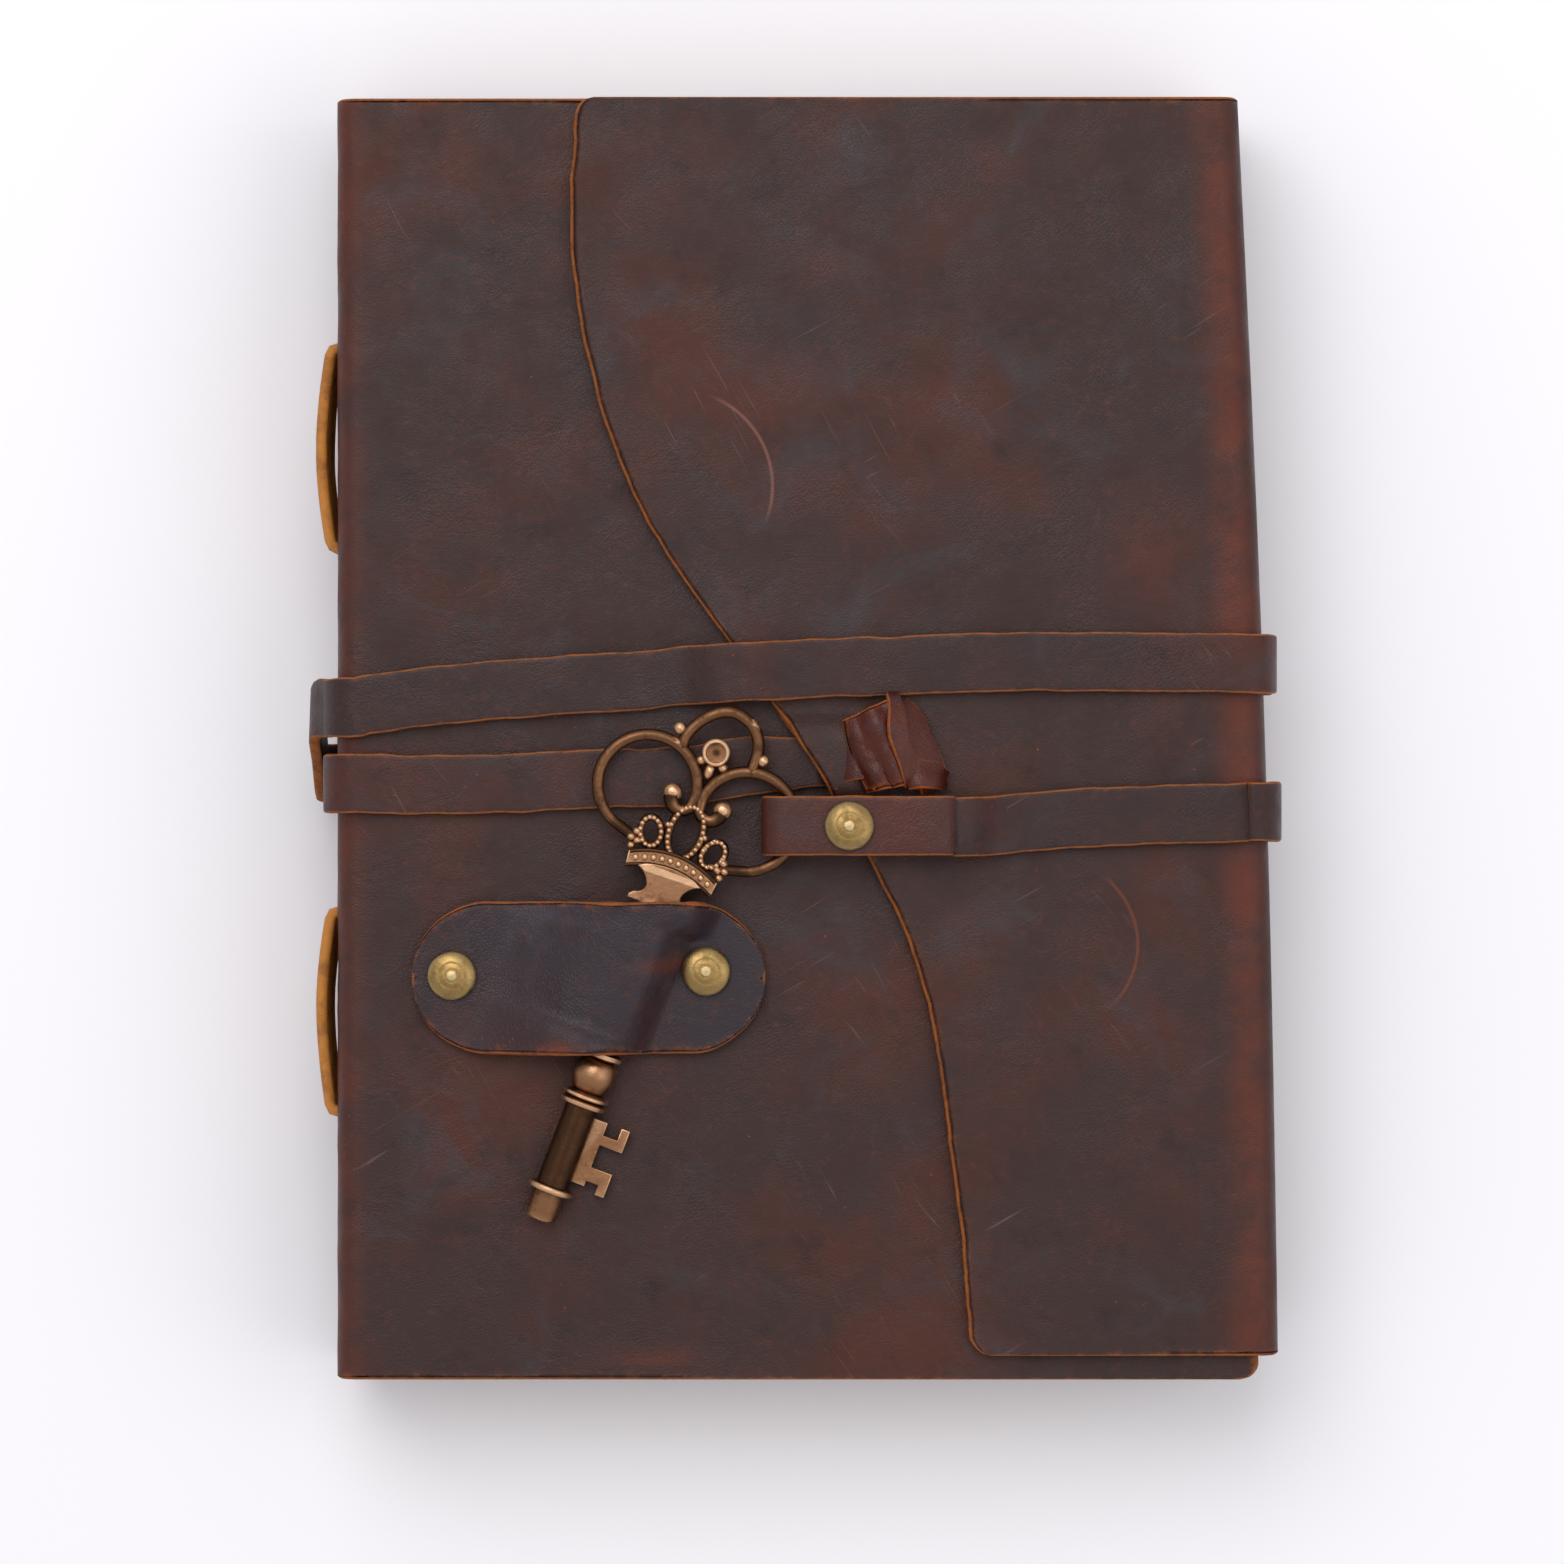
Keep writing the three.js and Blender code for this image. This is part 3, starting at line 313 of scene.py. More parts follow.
def leather(name, base, red, sheen_haze, edge, gloss=0.42, scratches=0.5, worn=0.5, arcs=()):
    """Waxed leather: a dark base, red patches, a blue-grey haze that is painted sheen, rust specks, pores,
    scratches, worn edges.
    """
    s = Shader(name)
    colour = s.colours(base, red, s.ramp(s.noise(30, 5, 0.62), 0.44, 0.7, 0, 0.85))
    # Painted sheen: random patches of blue-grey haze stand in for the waxed leather's reflection.
    colour = s.colours(colour, sheen_haze, s.ramp(s.noise(17, 6, 0.64, 0.8), 0.5, 0.78, 0, 0.8))
    colour = s.colours(colour, "160d0c", s.ramp(s.noise(6, 4, 0.6), 0.54, 0.8, 0, 0.5))
    mottle = s.ramp(s.noise(1.3, 5, 0.72), 0.5, 0.72, 0, 0.45)
    gate = s.ramp(s.noise(11, 4, 0.6), 0.4, 0.6, 0.25, 1)
    colour = s.colours(colour, "5a2a1c", s.times(mottle, gate))
    marks = 0.0
    for turn, length, size in ((28, 26, 0.5), (38, 16, 0.7), (-60, 22, 0.6)):
        streaks = s.noise(size, 2, 0.5, 0.6, s.place((1, length, 1), turn))
        gate = s.ramp(s.noise(24 + turn / 9, 3, 0.5), 0.52, 0.68)
        marks = s.math("MAXIMUM", marks, s.times(s.ramp(streaks, 0.66, 0.76), gate))
    colour = s.colours(colour, "71544c", s.times(marks, scratches))
    specks = s.ramp(s.noise(0.9, 2, 0.5), 0.73, 0.8, 0, 0.85)
    gate = s.ramp(s.noise(9, 4, 0.6), 0.5, 0.62)
    colour = s.colours(colour, "93431f", s.times(specks, gate))
    for arc, tone in arcs:
        colour = s.colours(colour, tone, s.times(arc_mark(s, *arc), ARC_STRENGTH))
    rubbed = s.times(s.attribute("rub"), s.ramp(s.noise(7, 5, 0.7), 0.3, 0.66, 0.25, 1))
    colour = s.colours(colour, "5c2819", rubbed)
    border = s.times(s.attribute("worn"), s.ramp(s.noise(2.6, 5, 0.7), 0.46, 0.66, 0.1, 1))
    colour = s.colours(colour, edge, s.times(border, worn))
    cut = s.times(s.attribute("cut"), s.ramp(s.noise(1.6, 4, 0.7), 0.3, 0.6, 0.45, 1))
    colour = s.colours(colour, edge, cut)
    pores = s.ramp(s.cells(0.5), 0, 0.2)
    grain = s.math("ADD", s.times(pores, 0.5), s.noise(0.8, 6, 0.65))
    folds = s.noise(9, 5, 0.55, 0.8)
    fibres = s.times(s.attribute("cut"), s.noise(0.35, 4, 0.7))
    normal = None
    for height, depth, strength in (
        (folds, 0.55, 0.5), (grain, 0.07, 0.6), (marks, 0.05, 0.6), (fibres, 0.3, 0.8),
    ):
        normal = s.bump(height, depth, strength, normal)
    rough = s.ramp(s.noise(9, 5, 0.6), 0.3, 0.7, gloss - 0.08, gloss + 0.16)
    rough = s.math("MAXIMUM", rough, s.times(s.attribute("cut"), CUT_ROUGHNESS))
    s.principled(Base_Color=colour, Roughness=rough, Normal=normal, Specular_IOR_Level=0.3)
    return s.material


def metal(name, painted_highlight, base, dark, rough, pit=0.06):
    """Old cast or turned metal, dark in its hollows, with a painted highlight on its high places."""
    s = Shader(name)
    pointed = s.node("ShaderNodeNewGeometry").outputs["Pointiness"]
    tone = s.noise(2.2, 5, 0.65)
    colour = s.colours(base, dark, s.ramp(tone, 0.5, 0.72, 0, 0.6))
    colour = s.colours(colour, dark, s.ramp(pointed, 0.5, 0.44, 0, 0.9))
    # Painted highlight: the convex places take a brighter colour.
    colour = s.colours(colour, painted_highlight, s.ramp(pointed, 0.51, 0.57, 0, 0.9))
    normal = s.bump(s.noise(0.7, 5, 0.7), pit, 0.8)
    normal = s.bump(s.noise(3.5, 3, 0.5), pit * 2, 0.5, normal)
    roughness = s.ramp(tone, 0.35, 0.7, rough, rough + 0.24)
    s.principled(Base_Color=colour, Roughness=roughness, Normal=normal, Metallic=1.0)
    return s.material


def paper_material():
    s = Shader("deckled_paper")
    colour = s.colours("e9dfc6", "cdb994", s.ramp(s.noise(22, 5, 0.6), 0.42, 0.8, 0, 0.45))
    stains = s.ramp(s.noise(4, 5, 0.7), 0.4, 0.7, 0.15, 0.7)
    colour = s.colours(colour, "a98f63", s.times(s.attribute("cut"), stains))
    fibres = s.noise(0.5, 5, 0.7, 0.5, s.place((1, 0.35, 1), 20))
    colour = s.colours(colour, "b7a27a", s.ramp(fibres, 0.62, 0.8, 0, 0.4))
    normal = s.bump(fibres, 0.08, 0.6)
    s.principled(Base_Color=colour, Roughness=0.9, Normal=normal, Specular_IOR_Level=0.2)
    return s.material


def lacing_material():
    s = Shader("tan_lacing")
    colour = s.colours("c07a2c", "8a4f18", s.ramp(s.noise(2.5, 5, 0.6), 0.4, 0.7, 0, 0.8))
    strands = s.noise(0.45, 3, 0.5, 0.2, s.place((1, 0.1, 1)))
    colour = s.colours(colour, "d79a4e", s.ramp(strands, 0.55, 0.7, 0, 0.6))
    s.principled(Base_Color=colour, Roughness=0.6, Normal=s.bump(strands, 0.15, 0.8))
    return s.material


# The long curved scratches beside the flap's middle and low on its fore edge
SCRATCHES = (
    (((-16.8, 35), 13.4, (-5.2, 40), 11), "8a5a4a"),
    (((35.5, -28.5), 11.7, (46.5, -28), 11), "7a3a22"),
)
# The third colour of each leather is its blue-grey haze of painted sheen.
DARK = leather("dark_oiled_leather", "33201d", "4a2013", "3a3337", "a05a24", arcs=SCRATCHES)
STRAP_SKIN = leather("strap_leather", "311f1d", "4c2217", "3a3237", "a8602a", gloss=0.4, worn=0.3)
LOOP_SKIN = leather("loop_leather", "46211a", "5c2619", "3c3136", "a8602a", gloss=0.36, worn=0.3)
PATCH_SKIN = leather("patch_leather", "2c2228", "3b211f", "413a43", "9c5626", gloss=0.36, scratches=0.3)
KNOT_SKIN = leather("knot_leather", "3c1710", "5e2412", "3c3c4c", "b0602a", gloss=0.24, worn=0.55)
# The first colour of each metal is a painted highlight on its convex places.
BRASS = metal("turned_brass", "d0b98a", "9d8050", "54401f", 0.27)
BRONZE = metal("cast_bronze", "dcb08a", "94694a", "38251a", 0.28, pit=0.08)
PAPER = paper_material()
LACING = lacing_material()


# Meshes

def piece(name, points, faces, material, marks=None, sharp=None):
    """A mesh from points in millimetres of the source's frame. marks gives wear values for each point."""
    mesh = bpy.data.meshes.new(name)
    mesh.from_pydata([row_frame(*p) for p in points], [], faces)
    mesh.validate()
    mesh.polygons.foreach_set("use_smooth", [True] * len(mesh.polygons))
    if sharp is not None:
        mesh.set_sharp_from_angle(angle=math.radians(sharp))
    for kind in ("cut", "worn", "rub"):
        values = (marks or {}).get(kind, [0.0] * len(points))
        mesh.attributes.new(kind, "FLOAT", "POINT").data.foreach_set("value", values)
    mesh.materials.append(material)
    obj = add_object(name, mesh)
    return obj


def ring_faces(rings, size, closed=False, capped=False):
    """Faces between rings of so many points, each ring with the next."""
    faces = []
    for r in range(rings if closed else rings - 1):
        base, after = r * size, (r + 1) % rings * size
        for i in range(size):
            j = (i + 1) % size
            faces.append((base + i, base + j, after + j, after + i))
    if capped:
        last = (rings - 1) * size
        faces += [tuple(reversed(range(size))), tuple(range(last, last + size))]
    return faces


# Across a cut edge of leather: how far each layer stands from the middle, and how far it is set in
EDGE_LAYERS = ((1, 0.3), (0.86, 0.1), (0.5, 0.0), (-0.5, 0.0), (-0.86, 0.1), (-1, 0.3))
WORN_REACH = 1.3


def sheet(name, grid, thickness, material, rub=lambda p: 0.0, hidden=()):
    """Leather over a grid of points on its middle, with rounded cut edges and worn borders.

    rub says where it reddened, and hidden names the ends of its rows that lie under another piece.
    """
    rows, columns = len(grid), len(grid[0])
    ends = [c for end, c in (("start", 0), ("end", columns - 1)) if end not in hidden]
    grid = [[Vector(p) for p in row] for row in grid]

    def normal(r, c):
        along = grid[r][min(columns - 1, c + 1)] - grid[r][max(0, c - 1)]
        across = grid[min(rows - 1, r + 1)][c] - grid[max(0, r - 1)][c]
        return along.cross(across).normalized()

    def inward(r, c):
        """The way into the sheet from its border, or None inside it."""
        to = (min(rows - 2, max(1, r)), min(columns - 2, max(1, c)))
        return None if to == (r, c) else (grid[to[0]][to[1]] - grid[r][c]).normalized()

    points, cut, worn, rubbed = [], [], [], []
    for offset, inset in EDGE_LAYERS:
        for r in range(rows):
            for c in range(columns):
                p = grid[r][c] + normal(r, c) * offset * thickness / 2
                way = inward(r, c)
                if way is not None:
                    p = p + way * inset * thickness
                borders = [grid[0][c], grid[-1][c]] + [grid[r][end] for end in ends]
                border = min((grid[r][c] - q).length for q in borders)
                shown = r in (0, rows - 1) or c in ends
                points.append(p)
                cut.append(1.0 if shown and abs(offset) < 1 else 0.0)
                worn.append(1 - smooth(0, WORN_REACH, border))
                rubbed.append(rub(grid[r][c]))
    layer = rows * columns
    bottom = (len(EDGE_LAYERS) - 1) * layer
    faces = []
    for r in range(rows - 1):
        for c in range(columns - 1):
            a = r * columns + c
            quad = (a, a + 1, a + columns + 1, a + columns)
            faces.append(quad)
            faces.append(tuple(bottom + i for i in reversed(quad)))
    border = [(0, c) for c in range(columns)] + [(r, columns - 1) for r in range(1, rows)]
    border += [(rows - 1, c) for c in range(columns - 2, -1, -1)] + [(r, 0) for r in range(rows - 2, 0, -1)]
    for k, (r, c) in enumerate(border):
        r2, c2 = border[(k + 1) % len(border)]
        for level in range(len(EDGE_LAYERS) - 1):
            a, b = level * layer + r * columns + c, level * layer + r2 * columns + c2
            faces.append((a, a + layer, b + layer, b))
    used = sorted({i for face in faces for i in face})
    renumber = {old: new for new, old in enumerate(used)}
    faces = [tuple(renumber[i] for i in face) for face in faces]
    wear = {"cut": cut, "worn": worn, "rub": rubbed}
    marks = {kind: [values[i] for i in used] for kind, values in wear.items()}
    return piece(name, [points[i] for i in used], faces, material, marks)


UP = (0, 0, 1)
DOWN = (0, 0, -1)


def station(x, y, z, up=UP, width=STRAP_WIDTH):
    return Vector((x, y, z)), Vector(up).normalized(), width


def hermite(a, b, m, n, t):
    """From a to b with the slopes m and n at its ends, for numbers and for vectors."""
    return (a * (2 * t ** 3 - 3 * t ** 2 + 1) + m * (t ** 3 - 2 * t ** 2 + t)
            + b * (3 * t ** 2 - 2 * t ** 3) + n * (t ** 3 - t ** 2))


def route(*rows):
    """Stations from rows of x, y, height, and where they differ the way up and the width."""
    return [station(*row) for row in rows]


def turn(x, z, radius, start, end, y, steps=7):
    """Stations round a turn in the XZ plane, from one angle to another in degrees."""
    ways = map(around, spread(start, end, steps))
    return [station(x + radius * c, y, z + radius * s, (c, 0, s)) for c, s in ways]


def flowing(stations, step=1.6):
    """More stations, on a smooth curve through the given ones."""
    at = [s[0] for s in stations]
    gaps = [max(1e-6, (b - a).length) for a, b in zip(at, at[1:])]
    last = len(at) - 1

    def tangent(i):
        a, b = max(0, i - 1), min(last, i + 1)
        return (at[b] - at[a]) / sum(gaps[a:b])

    made = []
    for i, gap in enumerate(gaps):
        count = max(1, round(gap / step))
        m, n = tangent(i) * gap, tangent(i + 1) * gap
        for k in range(count + (i == last - 1)):
            t = k / count
            up = stations[i][1].lerp(stations[i + 1][1], t).normalized()
            width = mix(stations[i][2], stations[i + 1][2], t)
            made.append((hermite(at[i], at[i + 1], m, n, t), up, width))
    return made


# A strap's section, as shares of half its width and half its thickness: its lower half, and that turned over
LOWER_SECTION = [
    (-1, -0.45), (-0.975, -0.8), (-0.93, -0.97), (-0.85, -1), (-0.5, -1), (0, -1),
    (0.5, -1), (0.85, -1), (0.93, -0.97), (0.975, -0.8), (1, -0.45),
]
STRAP_SECTION = LOWER_SECTION + [(-a, -b) for a, b in LOWER_SECTION]


def ribbon(name, stations, material, thickness=STRAP, seed=0.0, waver=0.22, relief=None):
    """A flat strap along its stations, with rounded cut edges that waver a little."""
    stations = flowing(stations)
    points, cut, worn = [], [], []
    along = 0.0
    for i, (at, up, width) in enumerate(stations):
        before, after = stations[max(0, i - 1)][0], stations[min(len(stations) - 1, i + 1)][0]
        way = (after - before).normalized()
        side = up.cross(way).normalized()
        out = way.cross(side).normalized()
        along += 0 if i == 0 else (at - before).length
        sway = waver * noise.noise(Vector((along / 9, seed, 0)))
        for a, b in STRAP_SECTION:
            edge = waver * noise.noise(Vector((along / 4, seed + 7 + (a > 0), 1))) * abs(a)
            lift = 0.0 if relief is None else relief(a, i / (len(stations) - 1))
            across = a * (width / 2 + edge) + sway
            points.append(at + side * across + out * (b * thickness / 2 + lift))
            cut.append(1.0 if abs(a) > 0.95 and abs(b) < 0.9 else 0.0)
            worn.append(1 - smooth(0.02, 0.12, 1 - abs(a)))
    faces = ring_faces(len(stations), len(STRAP_SECTION), capped=True)
    return piece(name, points, faces, material, {"cut": cut, "worn": worn})


def tube_parts(path, radius, sides=12, closed=False):
    """Rings of points round a path, and their faces."""
    points = []
    count = len(path)
    ring = circle(sides)
    for i, at in enumerate(path):
        before = path[i - 1] if closed or i else path[0]
        after = path[(i + 1) % count] if closed or i + 1 < count else path[-1]
        way = (Vector(after) - Vector(before)).normalized()
        side = way.cross(Vector((0, 0, 1)))
        side = side.normalized() if side.length > 1e-3 else Vector((0, 1, 0))
        out = side.cross(way).normalized()
        r = radius(i / (count - 1)) if callable(radius) else radius
        points += [Vector(at) + side * r * c + out * r * s for c, s in ring]
    return points, ring_faces(count, sides, closed, capped=not closed)


LEAST_RADIUS = 1e-3


def lathe_parts(profile, sides=48, axis="Z"):
    """A turned shape from (radius, along) pairs, about Z or about Y."""
    points = []
    ring = circle(sides)
    for r, z in profile:
        for c, s in ring:
            x, y = max(r, LEAST_RADIUS) * c, max(r, LEAST_RADIUS) * s
            points.append(Vector((x, y, z)) if axis == "Z" else Vector((x, z, -y)))
    return points, ring_faces(len(profile), sides)


def ball_parts(centre, radii, sides=14, rings=8):
    """A ball or bead with its own radius each way."""
    profile = [(math.sin(math.pi * i / rings), -math.cos(math.pi * i / rings)) for i in range(rings + 1)]
    points, faces = lathe_parts(profile, sides)
    return [Vector(centre) + Vector((p.x * radii[0], p.y * radii[1], p.z * radii[2])) for p in points], faces


def gather(parts):
    """Several lists of points and faces as one."""
    points, faces = [], []
    for some, theirs in parts:
        base = len(points)
        points += some
        faces += [tuple(base + i for i in face) for face in theirs]
    return points, faces


# The wrap

def fore_edge(y):
    t = (HEAD_Y - y) / COVER_HEIGHT
    lean = mix(FORE_EDGE_HEAD_X, FORE_EDGE_TAIL_X, t)
    return lean + FORE_EDGE_BOW * math.sin(math.pi * clamp01(t))


def corner_inset(distance, radius=CORNER_RADIUS):
    left = radius - min(radius, max(0, distance))
    return radius - math.sqrt(radius * radius - left * left)


# How far the flap reaches over the cover, by the distance from the head
FLAP_REACH = (
    (0, 92), (17, 93.4), (32, 92.7), (47, 89.5), (61, 83.6), (75, 74.3),
    (91, 63.7), (107, 55), (118, 50.2), (130, 47.1), (145, 45.2), (174, 42.6),
)


def curve_through(points, x):
    """The height at x of a smooth curve through the points."""
    last = len(points) - 2
    k = next((i - 1 for i, p in enumerate(points) if p[0] > x), last)
    k = min(last, max(0, k))

    def slope(i):
        before, after = points[max(0, i - 1)], points[min(last + 1, i + 1)]
        return (after[1] - before[1]) / (after[0] - before[0])

    width = points[k + 1][0] - points[k][0]
    t = clamp01((x - points[k][0]) / width)
    return hermite(points[k][1], points[k + 1][1], slope(k) * width, slope(k + 1) * width, t)


def flap_edge(y):
    return fore_edge(y) - curve_through(FLAP_REACH, HEAD_Y - y)


def flap_lift(x, y):
    """The flap rises where the start of the strap runs under it."""
    half = STUB_WIDTH / 2 + 0.2
    tail_side = smooth(SLIT_Y - half - 2.5, SLIT_Y - half, y)
    head_side = 1 - smooth(SLIT_Y + half, SLIT_Y + half + 4.2, y)
    past_slit = 1 - smooth(SLIT_X + STRAP / 2, SLIT_X + STRAP / 2 + 4, x)
    return (STRAP + SEAT_GAP) * tail_side * head_side * past_slit


def swell(x, y):
    """The slow unevenness of hand-cut leather, shared by the layers so that they stay apart."""
    return ripples(x, y, ((0.13, 24, 3.1), (0.06, 9, 8.4)))


def wall(foot, head, inward, steps=8):
    """Points (inset, z) up a wall with a quarter turn at its foot and head, on the middle of the leather."""
    r = FOLD_RADIUS - LEATHER / 2

    def arc(z, start, end):
        return [(FOLD_RADIUS - r * c, z + r * s) for c, s in map(around, spread(start, end, steps))]

    low = arc(foot + FOLD_RADIUS, -90, 0) if "foot" in inward else [(LEATHER / 2, foot)]
    high = arc(head - FOLD_RADIUS, 0, 90) if "head" in inward else [(LEATHER / 2, head)]
    middle = [(LEATHER / 2, z) for z in spread(low[-1][1], high[0][1], 8)[1:-1]]
    return low + middle + high


def ragged(y, seed):
    """How a hand-cut edge wavers, in millimetres."""
    return ripples(y, seed, ((0.35, 7, seed), (0.16, 2.2, seed + 4)))


def edge_rows(tail, head, count=84):
    """Rows from tail to head, each its y and how far a rounded corner sets it in."""
    near = (0, 0.35, 0.8, 1.4, 2, CORNER_RADIUS)
    middle = spread(tail + CORNER_RADIUS, head - CORNER_RADIUS, count)[1:-1]
    rows = [tail + d for d in near] + middle + [head - d for d in reversed(near)]
    return [(y, corner_inset(min(head - y, y - tail))) for y in rows]


def spine_rub(p):
    """The spine's two folds have reddened."""
    near_fold = max(1 - smooth(0, 3.5, abs(p.z - fold)) for fold in (BACK_Z + 1, COVER_TOP - 1))
    return 0.75 * near_fold * (1 - smooth(SPINE_X + 3, SPINE_X + 7, p.x))


def front_rub(p):
    """The fold over the spine, and a scuff at the tail edge."""
    fold = 1 - smooth(SPINE_X + 1, SPINE_X + 5.5, p.x)
    return max(0.7 * fold, 0.8 * blot(p, -20, -86, 6, 1.1))


def flap_rub(p):
    """The fore-edge wall's two folds, and a red patch above the strap."""
    inside = fore_edge(p.y) - p.x
    fold = smooth(0.4, 3.2, inside) * (1 - smooth(3.4, 8.5, inside))
    low_fold = 1 - smooth(0, 5, abs(p.z - BACK_Z - 2))
    return max(fold, 0.7 * low_fold, 0.5 * blot(p, 49, 25, 7, 9))


def make_back():
    """The back cover, the spine and the fold up to the fore edge, as one piece of leather."""
    spine_wall = wall(BACK_Z, COVER_TOP - 0.15, ("foot", "head"))
    grid = []
    for y, corner in edge_rows(-HEAD_Y, HEAD_Y):
        shift = ragged(y, 2.0) * 0.3
        row = [(SPINE_X + inset + shift, y, z) for inset, z in reversed(spine_wall)]
        fold = fore_edge(y) - FOLD_RADIUS - corner
        for x in spread(SPINE_X + FOLD_RADIUS, fold, 40)[1:]:
            row.append((x, y, BACK_Z + LEATHER / 2))
        grid.append(row)
    obj = sheet("back_leather", grid, LEATHER, DARK, rub=spine_rub, hidden=("start", "end"))
    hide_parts("back_cover", "spine")
    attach(obj, "book")


def make_front():
    """The front cover with its fold over the spine."""
    grid = []
    arc = wall(COVER_TOP - FOLD_RADIUS - 0.8, COVER_TOP, ("head",), 10)
    for y, corner in edge_rows(-HEAD_Y, HEAD_Y, 110):
        shift = ragged(y, 2.0) * 0.3
        row = [(SPINE_X + inset + shift, y, z) for inset, z in arc]
        right = fore_edge(y) - LEATHER - WALL_CLEARANCE - corner + ragged(y, 5.0) * 0.5
        start = SPINE_X + FOLD_RADIUS
        for x in spread(start, right, 84)[1:]:
            calm = smooth(start, start + 8, x)
            row.append((x, y, COVER_TOP - LEATHER / 2 + swell(x, y) * calm))
        grid.append(row)
    obj = sheet("front_leather", grid, LEATHER, DARK, rub=front_rub, hidden=("start",))
    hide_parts("front_cover")
    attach(obj, "front_cover")


def make_flap():
    """The fore-edge wall and the flap, folded over from one piece of leather."""
    profile = wall(BACK_Z + FOLD_RADIUS + 1, FLAP_TOP, ("head",), 10)
    near = [0, 0.5, 1.1, 1.9, 3, 4.2]
    grid = []
    for y, corner in edge_rows(FLAP_TAIL_Y, HEAD_Y, 150):
        edge = flap_edge(y) + corner + ragged(y, 11.0)
        fold = fore_edge(y) - FOLD_RADIUS
        row = []
        for x in [edge + d for d in near] + spread(edge + near[-1], fold, 52)[1:-1]:
            calm = 1 - smooth(fold - 8, fold, x)
            row.append((x, y, FLAP_Z + LEATHER / 2 + flap_lift(x, y) + swell(x, y) * calm))
        row += [(fore_edge(y) - inset, y, z) for inset, z in reversed(profile)]
        grid.append(row)
    obj = sheet("flap_leather", grid, LEATHER, DARK, rub=flap_rub, hidden=("end",))
    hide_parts("flap_panel", "flap_fore_edge")
    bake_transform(obj)


def make_fore_edge_fold():
    """The fold at the foot of the fore-edge wall, which bends between the back cover and the wall."""
    grid = []
    foot = wall(BACK_Z, BACK_Z + 14, ("foot",))[:13]
    for y, _ in edge_rows(FLAP_TAIL_Y, HEAD_Y, 60):
        row = [(fore_edge(y) - FOLD_RADIUS - 1.5, y, BACK_Z + LEATHER / 2)]
        grid.append(row + [(fore_edge(y) - inset, y, z) for inset, z in foot])
    ends = ("start", "end")
    fold = sheet("fore_edge_fold", grid, LEATHER - 0.06, DARK, rub=flap_rub, hidden=ends)
    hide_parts("flap_fore_edge")
    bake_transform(fold)


def make_spine_hinge():
    """The inner side of the spine's fold, between the spine and the front cover."""
    arc = wall(COVER_TOP - 9, COVER_TOP, ("head",), 10)
    grid = []
    for y in spread(1.5 - HEAD_Y, HEAD_Y - 1.5, 40):
        row = [(SPINE_X + inset, y, z) for inset, z in arc]
        grid.append(row + [(SPINE_X + FOLD_RADIUS + 0.8, y, COVER_TOP - LEATHER / 2)])
    obj = sheet("spine_hinge", grid, LEATHER - 0.7, DARK, hidden=("start", "end"))
    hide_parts("spine")
    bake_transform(obj)


# The text block

# Points round a leaf's section
LEAF_RING = 6
# A signature's rounded back, how far its inner leaves stand out, and how much the cut edges differ
BACK_ROUND = 1.4
CREEP = 0.8
DECKLE = 0.7
HEAD_DECKLE = 0.5
PAGE_CORNER = 1.5


def make_pages():
    """Each signature is a stack of folded sheets whose deckled edges differ a little."""
    rng = random.Random(4)
    bodies = {5: "leaf_lower", 6: "leaf_upper"}
    leaf = SIGNATURE / LEAVES
    middle = (LEAVES - 1) / 2
    fold_x = SPINE_X + LEATHER + SEAT_GAP
    for number in range(1, SIGNATURES + 1):
        parts, cut = [], []
        base = BLOCK_Z + (number - 1) * (SIGNATURE + SEAT_GAP)
        for k in range(LEAVES):
            z = base + k * leaf
            from_middle = abs(k - middle) / middle
            left = fold_x + BACK_ROUND * (1 - math.sqrt(1 - 0.97 * from_middle ** 2))
            right = fold_x + PAGE_WIDTH - CREEP * from_middle - rng.uniform(0, DECKLE)
            half = PAGE_HEIGHT / 2 - rng.uniform(0, HEAD_DECKLE)
            seed = rng.uniform(0, 50)
            points = []
            for y in spread(-half, half, 40):
                corner = corner_inset(min(half - y, y + half), PAGE_CORNER)
                edge = right - corner + 0.25 * ripple(y, seed, 6, seed)
                centre = mix(left, right, 0.5)
                droop = 0.05 * ripple(y, seed, 30, seed)
                low, high = z + 0.02, z + leaf - 0.05
                points += [Vector((left, y, low)), Vector((left, y, high))]
                for x, level in ((centre, high), (edge, high), (edge, low), (centre, low)):
                    points.append(Vector((x, y, level + droop)))
                # The deckled edge, which is darker
                cut += [float(abs(y) == half or i in (3, 4)) for i in range(LEAF_RING)]
            parts.append((points, ring_faces(len(points) // LEAF_RING, LEAF_RING, capped=True)))
        points, faces = gather(parts)
        obj = piece(f"leaves_{number}", points, faces, PAPER, {"cut": cut})
        obj.data.polygons.foreach_set("use_smooth", [False] * len(obj.data.polygons))
        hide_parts(f"signature_{number}")
        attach(obj, bodies.get(number, "book"))


